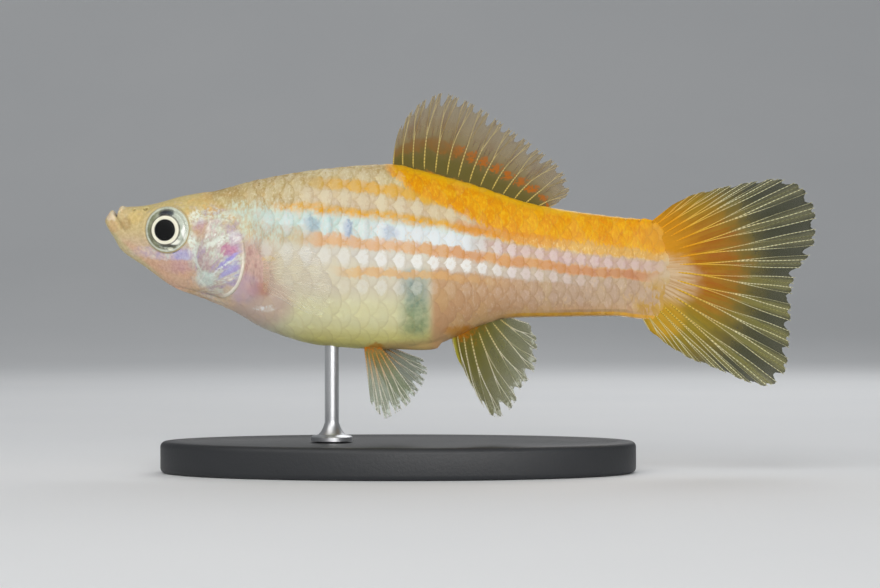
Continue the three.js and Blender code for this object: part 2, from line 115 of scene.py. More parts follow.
# A smooth open or closed line through points, walked by its length from 0 to 1
def lineThrough(points, closed=False, steps=40):
    count = len(points)

    def corner(i):
        return Vector(points[i % count] if closed else points[int(clamp(i, 0, count - 1))])
    walked = []
    for i in range(count if closed else count - 1):
        p, q, r, u = (corner(i + k) for k in (-1, 0, 1, 2))
        for k in range(steps):
            t = k / steps
            walked.append(0.5 * (2 * q + (r - p) * t + (2 * p - 5 * q + 4 * r - u) * t * t
                                 + (3 * q - p - 3 * r + u) * t ** 3))
    walked.append(corner(0) if closed else corner(count - 1))
    reached = [0.0]
    for p, q in zip(walked, walked[1:]):
        reached.append(reached[-1] + (q - p).length)

    def line(share):
        at = clamp(share) * reached[-1]
        i = min(bisect_right(reached, at), len(walked) - 1)
        span = reached[i] - reached[i - 1]
        return walked[i - 1].lerp(walked[i], (at - reached[i - 1]) / span if span else 0)
    return line


back = curveThrough(body["back"])
belly = curveThrough(body["belly"])
halfWidth = curveThrough(body["halfWidth"])
widest = curveThrough(body["widest"])
upperSquare = curveThrough(body["upperSquare"])
lowerSquare = curveThrough(body["lowerSquare"])


# Top, bottom, widest height and half width of the body at x, with both ends rounded
def section(x):
    front = clamp(x / body["snout"]["length"])
    snout = math.sqrt(1 - (1 - front) ** 2)
    end = body["fleshEnd"]
    rear = clamp((x - end["start"]) / (body["length"] - end["start"]))
    height = math.sqrt(max(1 - rear ** end["roundness"], 0))

    def close(value):
        ahead = body["snout"]["height"] + (value - body["snout"]["height"]) * snout
        return end["height"] + (ahead - end["height"]) * height
    thin = blend(1, body["finBase"]["share"], step(body["finBase"]["start"], body["length"], x))
    width = halfWidth(x) * thin * snout * math.sqrt(max(1 - rear ** end["sharpness"], 0))
    return close(back(x)), close(belly(x)), close(widest(x)), width


# A point on the body, lifted off it; turn is 0 on the right flank and a quarter turn on the back
def onBody(x, turn, lift=0.0):
    top, bottom, middle, half = section(x)
    across = math.cos(turn)
    rise = math.sin(turn)
    square = upperSquare(x) if rise > 0 else lowerSquare(x)
    reach = top - middle if rise > 0 else middle - bottom
    y = math.copysign(abs(across) ** (2 / square), across) * half
    z = math.copysign(abs(rise) ** (2 / square), rise) * reach
    if lift and half > 0 and reach > 0:
        outY = math.copysign((abs(y) / half) ** (square - 1) / half, y)
        outZ = math.copysign((abs(z) / reach) ** (square - 1) / reach, z)
        size = math.hypot(outY, outZ)
        y += outY / size * lift
        z += outZ / size * lift
    return Vector((x, y, middle + z))


# Half the body's width at a height
def sideAt(x, height):
    top, bottom, middle, half = section(x)
    over = height > middle
    share = abs(height - middle) / (top - middle if over else middle - bottom)
    square = upperSquare(x) if over else lowerSquare(x)
    return 0.0 if share >= 1 else half * (1 - share ** square) ** (1 / square)


# Scale rows run along the body, counted up and down from the row of pearls along the flank
coat = {
    "seed": 11,
    "depth": 0.13,
    "pearlRow": [[0, 4.0], [9, 2.4], [18, 0.9], [25, 0.38], [34.6, -0.3], [43, -0.88], [50.6, -1.9],
                 [55.6, -2.45], [61, -3.1], [71.9, -3.9]],
    "pearlStart": 24.96,
    "spacing": [[8, 1.9], [18, 2.25], [25, 2.4], [34, 2.3], [40, 2.1], [47, 1.95], [52, 1.75],
                [71, 1.7]],
    "rowPitch": [[0, 1.6], [12, 1.75], [25, 1.9], [36, 1.76], [47, 1.46], [64, 1.28], [71, 1.22]],
    "headEdge": [[-12, 13.5], [-7, 15.2], [-5, 17.6], [-1, 18.6], [3, 18.2], [5.5, 16.4], [7, 13.2],
                 [12, 11.6]],
    "tailEdge": 71.0,
    "tailLimit": 71.6,
    "tailFade": [67, 71],
    "tailShrink": 0.25,
    "headFade": [-0.6, 2.5],
    "headSize": 0.7,
    "rows": [-9, 9],
    "columns": [-6, 29],
    "columnsFrom": 6,
    "columnParts": 4,
    "pastRidge": 0.25,
    "reach": [0.86, 0.66],
    "width": 1.06,
    "widening": 0.12,
    "thickness": 0.014,
    "rimThinning": 0.012,
    "rootLift": -0.032,
    "edgeLift": 0.052,
    "crown": 0.014,
    "tailClose": [72, 67],
    "bellyClose": [-2.5, -0.5],
    "lean": [-0.03, 0.03],
    "tilt": [0.88, 1.14],
    "pearlChange": [0.8, 1.15],
    "barChange": [0.6, 1.25],
    "sides": 16,
    "rings": [0.12, 0.36],
    "bakePatch": 0.003,
}
pearlRow = curveThrough(coat["pearlRow"])
spacing = curveThrough(coat["spacing"])
rowPitch = curveThrough(coat["rowPitch"])
headEdge = curveThrough(coat["headEdge"])

# Lengths round the flank from the pearl row, at even stations, for placing rows by their pitch
girth = {"from": 0.3, "endGap": 0.2, "pitch": 0.5, "turns": 96, "halvings": 14}
turnSteps = [-math.pi / 2 + math.pi * k / girth["turns"] for k in range(girth["turns"] + 1)]


def girthTable():
    table = []
    count = int((body["length"] - girth["endGap"] - girth["from"]) / girth["pitch"]) + 1
    for k in range(count):
        x = girth["from"] + k * girth["pitch"]
        ring = [onBody(x, turn) for turn in turnSteps]
        lengths = [0.0]
        for p, q in zip(ring, ring[1:]):
            lengths.append(lengths[-1] + (q - p).length)
        start = pearlRow(x)
        i = next(i for i in range(1, len(ring)) if ring[i].z >= start or i == len(ring) - 1)
        share = (start - ring[i - 1].z) / max(ring[i].z - ring[i - 1].z, 1e-9)
        zero = blend(lengths[i - 1], lengths[i], clamp(share))
        table.append([length - zero for length in lengths])
    return table


girths = girthTable()


def girthAt(x):
    at = clamp((x - girth["from"]) / girth["pitch"], 0, len(girths) - 1.001)
    return int(at), at - int(at)


# The length round the flank at a turn, and the turn at a length
def lengthAtTurn(x, turn):
    i, share = girthAt(x)
    at = clamp((turn - turnSteps[0]) / math.pi, 0, 0.99999) * girth["turns"]
    k = int(at)
    one = blend(girths[i][k], girths[i][k + 1], at - k)
    other = blend(girths[i + 1][k], girths[i + 1][k + 1], at - k)
    return blend(one, other, share)


def turnAtLength(x, length):
    i, share = girthAt(x)
    turns = []
    for table in (girths[i], girths[i + 1]):
        k = int(clamp(bisect_right(table, length), 1, len(table) - 1))
        part = (length - table[k - 1]) / max(table[k] - table[k - 1], 1e-9)
        turns.append(blend(turnSteps[k - 1], turnSteps[k], clamp(part)))
    return blend(turns[0], turns[1], share)


# The lengths round the flank at the ridges of the belly and the back
def girthEnds(x):
    i, share = girthAt(x)
    return tuple(blend(girths[i][end], girths[i + 1][end], share) for end in (0, -1))


# A point of the coat by its length along the body and round the flank; past the ridge of the back
# or the belly it goes on down the other side
def onFlank(x, length, lift, side):
    low, high = girthEnds(x)
    if length > high:
        length = 2 * high - length
        side = -side
    elif length < low:
        length = 2 * low - length
        side = -side
    p = onBody(x, turnAtLength(x, length), lift)
    p.y *= side
    return p


# Columns of scales: their places along the body, by whole and part numbers
def columnTable():
    places = [coat["pearlStart"]]
    parts = coat["columnParts"]
    while places[-1] < body["length"]:
        places.append(places[-1] + spacing(places[-1]) / parts)
    before = 0
    while places[0] > coat["columnsFrom"]:
        places.insert(0, places[0] - spacing(places[0]) / parts)
        before += 1
    return places, before


columnPlaces, columnsBefore = columnTable()


def stationOf(column):
    at = clamp(column * coat["columnParts"] + columnsBefore, 0, len(columnPlaces) - 1.001)
    i = int(at)
    return blend(columnPlaces[i], columnPlaces[i + 1], at - i)


# A colour as shaders take it, from its red, green and blue from 0 to 255; a wire stays as it is
def linear(tint):
    if isinstance(tint, Wire):
        return tint
    parts = [value / 255 for value in tint]
    return (*(part / 12.92 if part <= 0.04045 else ((part + 0.055) / 1.055) ** 2.4 for part in parts), 1.0)


# A Math node as an operator of a wire, with the wire as its first or its second value
def operator(operation, first=True):
    def act(wire, other):
        sockets = {0: wire, 1: other} if first else {0: other, 1: wire}
        return wire.paint.node("ShaderNodeMath", {"operation": operation}, sockets)
    return act


# Shader values in plain arithmetic: each sum or product adds its Math node
class Wire:
    def __init__(self, paint, socket):
        self.paint = paint
        self.socket = socket

    def math(self, operation, *others):
        sockets = dict(enumerate([self, *others]))
        return self.paint.node("ShaderNodeMath", {"operation": operation}, sockets)

    __add__ = __radd__ = operator("ADD")
    __mul__ = __rmul__ = operator("MULTIPLY")
    __sub__ = operator("SUBTRACT")
    __rsub__ = operator("SUBTRACT", first=False)
    __truediv__ = operator("DIVIDE")
    __rtruediv__ = operator("DIVIDE", first=False)
    __pow__ = operator("POWER")

    def __neg__(self):
        return self * -1

    def __abs__(self):
        return self.math("ABSOLUTE")

    def fraction(self):
        return self.math("FRACT")

    def rise(self, low, high):
        return self.paint.node("ShaderNodeMapRange", {"interpolation_type": "SMOOTHSTEP"},
                               {"Value": self, "From Min": low, "From Max": high})

    def near(self, centre, half):
        return abs(self - centre).rise(half * 1.35, half * 0.55)

    def follow(self, points):
        xs = [p[0] for p in points]
        ys = [p[1] for p in points]
        low, high = min(ys), max(ys)
        span = max(high - low, 1e-6)
        places = [((x - xs[0]) / (xs[-1] - xs[0]), (y - low) / span) for x, y in points]
        share = (self - xs[0]) / (xs[-1] - xs[0])
        return self.paint.node("ShaderNodeFloatCurve", {"points": places}, {"Value": share}) * span + low


class Paint:
    def __init__(self, name):
        self.material = bpy.data.materials.new(name)
        self.material.use_nodes = True
        self.tree = self.material.node_tree
        self.tree.nodes.clear()
        self.made = {}

    def node(self, kind, settings=None, sockets=None, result=0):
        made = self.tree.nodes.new(kind)
        for key, value in (settings or {}).items():
            if key == "points":
                self.bend(made, value)
            elif key == "stops":
                self.ramp(made, value)
            else:
                setattr(made, key, value)
        for key, value in (sockets or {}).items():
            if isinstance(value, Wire):
                self.tree.links.new(value.socket, made.inputs[key])
            else:
                made.inputs[key].default_value = value
        return Wire(self, made.outputs[result])

    def bend(self, made, points):
        curve = made.mapping.curves[0]
        while len(curve.points) < len(points):
            curve.points.new(0.5, 0.5)
        for spot, (x, y) in zip(curve.points, points):
            spot.location = (x, y)
            spot.handle_type = "AUTO_CLAMPED"
        made.mapping.update()

    def ramp(self, made, stops):
        ramp = made.color_ramp
        while len(ramp.elements) < len(stops):
            ramp.elements.new(0.5)
        for element, (place, tint) in zip(ramp.elements, stops):
            element.position = place
            element.color = linear(tint)

    # The place on the fish in mm, with its origin at the snout tip on the body's axis
    def place(self):
        if "place" not in self.made:
            spot = self.node("ShaderNodeTexCoord", {}, {}, "Object")
            scaled = self.node("ShaderNodeMapping", {}, {
                "Vector": spot, "Scale": (1 / mm,) * 3, "Location": (-fishStart, 0, -fishHeight)})
            self.made["place"] = scaled
            self.made["parts"] = self.parts(scaled)
        return self.made["place"]

    def parts(self, vector):
        split = self.node("ShaderNodeSeparateXYZ", {}, {0: vector})
        return [split] + [Wire(self, split.socket.node.outputs[k]) for k in (1, 2)]

    def vector(self, *parts):
        return self.node("ShaderNodeCombineXYZ", {}, dict(enumerate(parts)))

    def xyz(self):
        self.place()
        return self.made["parts"]

    def attribute(self, name):
        return self.parts(self.node("ShaderNodeAttribute", {"attribute_name": name}, {}, "Vector"))

    def noise(self, size, detail=2.0, roughness=0.5, where=None, stretch=(1, 1, 1)):
        spot = where or self.place()
        scaled = self.node("ShaderNodeMapping", {}, {
            "Vector": spot, "Scale": tuple(part / size for part in stretch)})
        return self.node("ShaderNodeTexNoise", {}, {
            "Vector": scaled, "Scale": 1.0, "Detail": detail, "Roughness": roughness})

    # Streaks from noise that is stretched along one of two directions
    def streaks(self, across, along):
        return self.noise(1, 3, 0.6, where=self.vector(across, along, 0.0))

    def mix(self, first, second, factor):
        sockets = {0: factor, 6: linear(first), 7: linear(second)}
        return self.node("ShaderNodeMix", {"data_type": "RGBA"}, sockets, 2)

    def over(self, base, layers):
        for tint, mask in layers:
            base = self.mix(base, tint, mask)
        return base

    # A soft round mask about a place, from the differences along and up
    def spot(self, along, up, reach, rise, core=0.25):
        return ((along / reach) ** 2 + (up / rise) ** 2).rise(1.3, core)

    def relief(self, height, size):
        return self.node("ShaderNodeBump", {}, {"Height": height, "Distance": size * mm})

    # Ends the material, in a plain shader with these inputs or in one that is made already
    def done(self, base, inputs=None):
        shader = base
        if inputs is not None:
            shader = self.node("ShaderNodeBsdfPrincipled", {}, {"Base Color": base, **inputs})
        out = self.tree.nodes.new("ShaderNodeOutputMaterial")
        self.tree.links.new(shader.socket, out.inputs["Surface"])
        return self.material


# Turns a closed mesh's faces outwards and makes it a piece of the model
def makePiece(bm, name, material, nodes=(), place=fishPlace, sharp=None):
    bmesh.ops.transform(bm, matrix=place, verts=bm.verts)
    if bm.calc_volume(signed=True) < 0:
        bmesh.ops.reverse_faces(bm, faces=bm.faces)
    mesh = bpy.data.meshes.new(name)
    bm.to_mesh(mesh)
    bm.free()
    mesh.shade_smooth()
    if sharp is not None:
        mesh.set_sharp_from_angle(angle=math.radians(sharp))
    mesh.materials.append(material)
    piece = bpy.data.objects.new(name, mesh)
    bpy.context.scene.collection.objects.link(piece)
    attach(piece, "root")
    if nodes:
        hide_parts(*nodes)
    return piece


# Adds a copy of a small template to a mesh, with each of its points moved by a function
def stamp(bm, template, move):
    firstVert = len(bm.verts)
    firstFace = len(bm.faces)
    bm.from_mesh(template)
    bm.verts.ensure_lookup_table()
    bm.faces.ensure_lookup_table()
    verts = bm.verts[firstVert:]
    for vert in verts:
        vert.co = move(vert.co.copy())
    return verts, bm.faces[firstFace:]


# Camera: level, on the fish's left side, at the photo's framing
cameraPlan = {"centre": (-2.73, 22.53), "distance": 308.6, "lens": 100, "sensor": 36}
camera = bpy.data.objects.new("camera", bpy.data.cameras.new("camera"))
camera.data.lens = cameraPlan["lens"]
camera.data.sensor_width = cameraPlan["sensor"]
camera.data.clip_start = 0.01
across, up = cameraPlan["centre"]
camera.location = (across * mm, -cameraPlan["distance"] * mm, up * mm)
camera.rotation_euler = (math.pi / 2, 0, 0)
bpy.context.scene.collection.objects.link(camera)
bpy.context.scene.camera = camera

lamps = [
    {"name": "key", "at": (-0.14, -0.28, 0.32), "size": (0.36, 0.36), "spread": 180, "watts": 0.7,
     "tint": (1, 0.985, 0.96)},
    {"name": "fill", "at": (0.08, -0.36, 0.09), "size": (0.3, 0.14), "spread": 60, "watts": 0.105,
     "tint": (1, 0.99, 0.98)},
    {"name": "rim", "at": (0.10, 0.30, 0.30), "size": (0.3, 0.3), "spread": 180, "watts": 0.5,
     "tint": (1, 1, 1)},
]
for lamp in lamps:
    light = bpy.data.lights.new(lamp["name"], "AREA")
    light.shape = "RECTANGLE"
    light.size, light.size_y = lamp["size"]
    light.spread = math.radians(lamp["spread"])
    light.energy = lamp["watts"]
    light.color = lamp["tint"]
    holder = bpy.data.objects.new(lamp["name"], light)
    holder.location = lamp["at"]
    aim = Vector((0, 0, fishHeight * mm)) - holder.location
    holder.rotation_euler = aim.to_track_quat("-Z", "Y").to_euler()
    bpy.context.scene.collection.objects.link(holder)

sky = {"Color": (0.93, 0.95, 0.97, 1), "Strength": 0.29}
world = bpy.data.worlds.new("studio")
world.use_nodes = True
for key, value in sky.items():
    world.node_tree.nodes["Background"].inputs[key].default_value = value
bpy.context.scene.world = world
bpy.context.scene.view_settings.view_transform = "Standard"

# Floor and backdrop: one pale sheet that curves up behind
backdrop = {"width": 3.0, "front": -1.2, "bend": 0.45, "radius": 0.5, "height": 1.4, "steps": 64,
            "tints": [(234, 236, 238), (241, 242, 243)], "cloud": 60}


def makeBackdrop():
    bm = bmesh.new()
    bmesh.ops.create_grid(bm, x_segments=4, y_segments=backdrop["steps"], size=0.5)
    flat = backdrop["bend"] - backdrop["front"]
    arc = backdrop["radius"] * math.pi / 2
    whole = flat + arc + backdrop["height"]
    for vert in bm.verts:
        along = (vert.co.y + 0.5) * whole
        turn = clamp((along - flat) / arc) * math.pi / 2
        vert.co = Vector((
            vert.co.x * backdrop["width"],
            backdrop["front"] + min(along, flat) + backdrop["radius"] * math.sin(turn),
            backdrop["radius"] * (1 - math.cos(turn)) + max(along - flat - arc, 0)))
    paint = Paint("studioPaper")
    base = paint.mix(*backdrop["tints"], paint.noise(backdrop["cloud"]))
    material = paint.done(base, {"Roughness": 0.9})
    mesh = bpy.data.meshes.new("backdrop")
    bm.to_mesh(mesh)
    bm.free()
    mesh.shade_smooth()
    mesh.materials.append(material)
    sheet = bpy.data.objects.new("backdrop", mesh)
    bpy.context.scene.collection.objects.link(sheet)


makeBackdrop()
print("studio ready")


# Colours of the flesh, the same on skin, gill covers and scales; x and height in mm, rows from the
# pearl row. Each layer is a colour and where it lies
def fleshColours(paint):
    x, _, height = paint.xyz()
    row, shade, cover = paint.attribute("rows")
    cloud = paint.noise(2.4) - 0.5
    grain = paint.noise(0.55, 3) - 0.5
    fleck = paint.noise(0.42, 3, 0.6, stretch=(1.5, 1, 0.6))
    wave = row + cloud * 0.6 + grain * 0.6
    pale = fleck.rise(0.5, 0.66)
    dark = fleck.rise(0.48, 0.34)
    overBelly = height - x.follow(body["belly"])
    underBack = x.follow(body["back"]) - height

    def spot(atX, atHeight, reach, rise):
        return paint.spot(x - atX + cloud * 0.9, height - atHeight + grain * 0.9, reach, rise)

    def stripe(atRow, half, start, full):
        return wave.near(atRow, half) * x.rise(start, full)

    def mark(atX, atRow, reach, rise):
        return paint.spot(x - atX + cloud * 1.5, row - atRow + grain, reach, rise)

    trunk = x.rise(15.5, 19)
    low = row.rise(1.5, 0.3)
    base = paint.mix((212, 188, 132), (196, 164, 104), cloud.rise(-0.16, 0.16))
    layers = [
        ((238, 222, 184), pale * 0.5),
        ((186, 138, 72), dark * 0.35),
        ((222, 211, 186), low * trunk),
        # The belly's own cream and yellow lower down, painted lighter than they are as painted light on the
        # underside
        ((236, 230, 180), height.rise(-3.4, -7.0) * x.rise(19, 25)),
        ((236, 226, 138), height.rise(-7.6, -10.8) * x.rise(20, 27)),
        ((214, 184, 168), spot(19.5, -5.6, 5.0, 3.4) * 0.85),
        ((208, 160, 116), low * x.rise(40.4, 41.8)),
        ((198, 164, 132), low * x.rise(48, 58) * height.rise(-7.2, -5.0)),
        ((218, 176, 96), (cloud + fleck).rise(0.6, 0.74) * low * x.rise(50, 60) * 0.5),
        ((224, 196, 170), pale * low * x.rise(41, 46) * 0.35),
        ((220, 178, 126), overBelly.rise(1.6, 0.4) * x.rise(33, 36) * 0.7),
    ]
    base = paint.over(base, layers)

    # The gravid patch, greener below and bluish above, with a soft front edge
    wander = x + cloud * 1.2
    patch = wander.rise(36.5, 38.9) * wander.rise(41.6, 40.0) * height.rise(-0.4, -2.8)
    patch = patch * height.rise(-10.9, -8.4) * (0.82 + cloud + grain * 0.8)
    green = paint.mix((128, 152, 112), (150, 166, 158), height.rise(-8, -3))
    base = paint.mix(base, green, patch)

    # Stripes and bands along the scale rows
    sheen = pale * 0.5 + 0.5
    layers = [
        ((230, 212, 176), stripe(6.1, 0.5, 24, 29) * x.rise(39, 36.5) * sheen * 0.5),
        ((236, 170, 40), stripe(5.1, 0.48, 24, 31) * 0.85),
        ((232, 208, 178), stripe(4.05, 0.6, 23, 27) * 0.6),
        ((242, 170, 20), stripe(3.05, 0.42, 20, 24) * (0.75 + grain * 2)),
        ((220, 240, 235), stripe(2.0, 0.86, 13.5, 24) * x.rise(50, 45.5) * (0.88 + grain)),
        ((240, 244, 247), stripe(2.0, 0.6, 30, 36) * x.rise(48, 45) * 0.75),
        ((196, 228, 214), stripe(2.0, 0.9, 18, 23) * x.rise(40, 30) * fleck.rise(0.42, 0.6) * 0.6),
        ((240, 214, 176), stripe(2.0, 0.9, 20, 24) * x.rise(48, 44) * fleck.rise(0.44, 0.32) * 0.5),
        ((150, 180, 196), mark(26.3, 2.0, 1.2, 0.66) * 0.7),
        ((142, 160, 194), mark(30.8, 1.9, 0.8, 0.74) * 0.78),
        ((176, 186, 208), mark(35.9, 1.9, 1.4, 0.66) * 0.55),
        ((172, 186, 192), x.near(28.7, 0.3) * stripe(2.0, 0.7, 20, 24) * 0.35),
        ((178, 188, 196), x.near(33.2, 0.35) * stripe(2.0, 0.7, 20, 24) * 0.35),
        ((234, 174, 84), stripe(3.4, 0.8, 49, 54) * 0.9),
        ((212, 174, 164), stripe(2.0, 0.6, 44, 50) * (0.85 + grain)),
        ((200, 170, 124), stripe(1.25, 0.55, 17, 18) * x.rise(27, 24) * 0.6),
        ((236, 172, 112), stripe(1.0, 0.44, 24, 28) * 0.85),
        ((220, 146, 78), stripe(1.0, 0.42, 36, 44) * 0.85),
        ((198, 128, 96), stripe(1.0, 0.4, 54, 66) * 0.6),
        ((224, 216, 202), stripe(0.0, 0.52, 21, 27) * x.rise(66, 48) * 0.75),
        ((232, 172, 100), stripe(-1.0, 0.3, 28, 32) * x.rise(54, 38) * 0.75),
    ]
    base = paint.over(base, layers)

    # The solid orange of the back from the dorsal fin to the tail
    edge = x.follow([[33, 13.4], [35.8, 10.6], [38.3, 8.6], [43.5, 6.2], [50.3, 3.0], [56, 2.2],
                     [62.5, 1.5], [70.7, 0.1], [72, -0.4]])
    orange = (height - edge + cloud * 1.2 + (fleck - 0.5) * 2.0).rise(-0.4, 0.4) * x.rise(35.0, 36.2)
    amber = paint.mix((250, 172, 0), (240, 152, 0), cloud.rise(-0.16, 0.16))
    amber = paint.over(amber, [((255, 202, 30), pale * 0.5), ((232, 128, 0), dark * 0.4)])
    base = paint.mix(base, amber, orange)
    layers = [
        ((236, 138, 0), wave.near(3.3, 0.5) * x.rise(42, 46) * x.rise(60, 54) * 0.6),
        ((250, 214, 140), wave.near(2.95, 0.42) * x.rise(50, 54) * pale * 0.6),
        ((250, 190, 20), underBack.rise(1.3, 0.3) * x.rise(35, 38) * x.rise(64, 56) * 0.8),
        ((246, 220, 160), underBack.rise(0.34, 0.16) * x.rise(55, 58) * x.rise(68.5, 66) * 0.6),
        ((212, 184, 148), (x + cloud * 6).rise(68.0, 71.4) * (height + cloud * 3).rise(0.4, -0.8)),
        ((204, 152, 40), spot(71, -6.0, 4.6, 3.4) * (fleck + cloud).rise(0.42, 0.6) * 0.8),
        ((232, 156, 8), (x + cloud * 6).rise(66.5, 70.5) * (height + cloud * 3).rise(0.0, 1.4)),
        ((214, 140, 30), spot(34.2, -11.4, 1.2, 0.7) * 0.8),
        ((204, 126, 20), spot(45.0, -9.4, 2.2, 0.9) * (0.7 + cloud)),
        ((140, 106, 66), (overBelly + grain * 0.3).near(0.85, 0.22) * x.rise(54, 60) * x.rise(68, 65)
         * 0.4),
        ((230, 166, 50), overBelly.near(0.5, 0.22) * x.rise(49, 53) * 0.9),
        ((244, 236, 214), overBelly.rise(0.26, 0.1) * x.rise(49, 52) * 0.95),
    ]
    base = paint.over(base, layers)
    head = headColours(paint, x, height, cover, cloud, grain, spot)
    base = paint.mix(base, head, (x - height.follow(coat["headEdge"]) + cloud * 2.4).rise(1.4, -1.6))

    # Raw pink behind the gill cover, with a violet edge and an orange corner
    behind = cover.rise(0.99, 1.04)
    raw = paint.noise(0.5, 3, 0.65, stretch=(1.3, 1, 0.5))
    layers = [
        ((190, 156, 146), spot(19.0, -1.6, 3.2, 4.4) * (0.8 + cloud) * behind),
        ((164, 120, 118), spot(18.9, -1.2, 1.8, 3.2) * raw.rise(0.52, 0.36) * behind * 0.6),
        ((216, 178, 164), spot(19.6, -1.6, 2.2, 3.2) * raw.rise(0.52, 0.66) * behind * 0.6),
        ((190, 116, 86), spot(19.8, -4.2, 1.6, 1.1) * (0.4 + cloud) * behind),
        ((188, 168, 192), paint.spot(x - 18.2 + cloud * 3, height + 3.8 + cloud, 1.8, 2.0)
         * (0.4 + cloud) * behind),
        ((222, 188, 110), spot(21.0, -0.3, 1.0, 0.35) * 0.5),
        ((236, 232, 228), spot(20.4, -6.5, 1.5, 0.45) * pale.rise(-0.6, 0.8) * behind * 0.9),
        ((206, 230, 216), stripe(2.0, 1.5, 15, 17) * x.rise(26, 21) * fleck.rise(0.36, 0.66) * behind
         * 0.6),
        ((210, 186, 150), stripe(1.0, 0.8, 15, 17) * x.rise(24, 20) * dark * behind * 0.5),
    ]
    base = paint.over(base, layers)
    # Painted shade: dark brown where the shade value marks the mouth slit, the eye's rim and the nostrils
    return paint.mix(base, (62, 44, 30), shade)


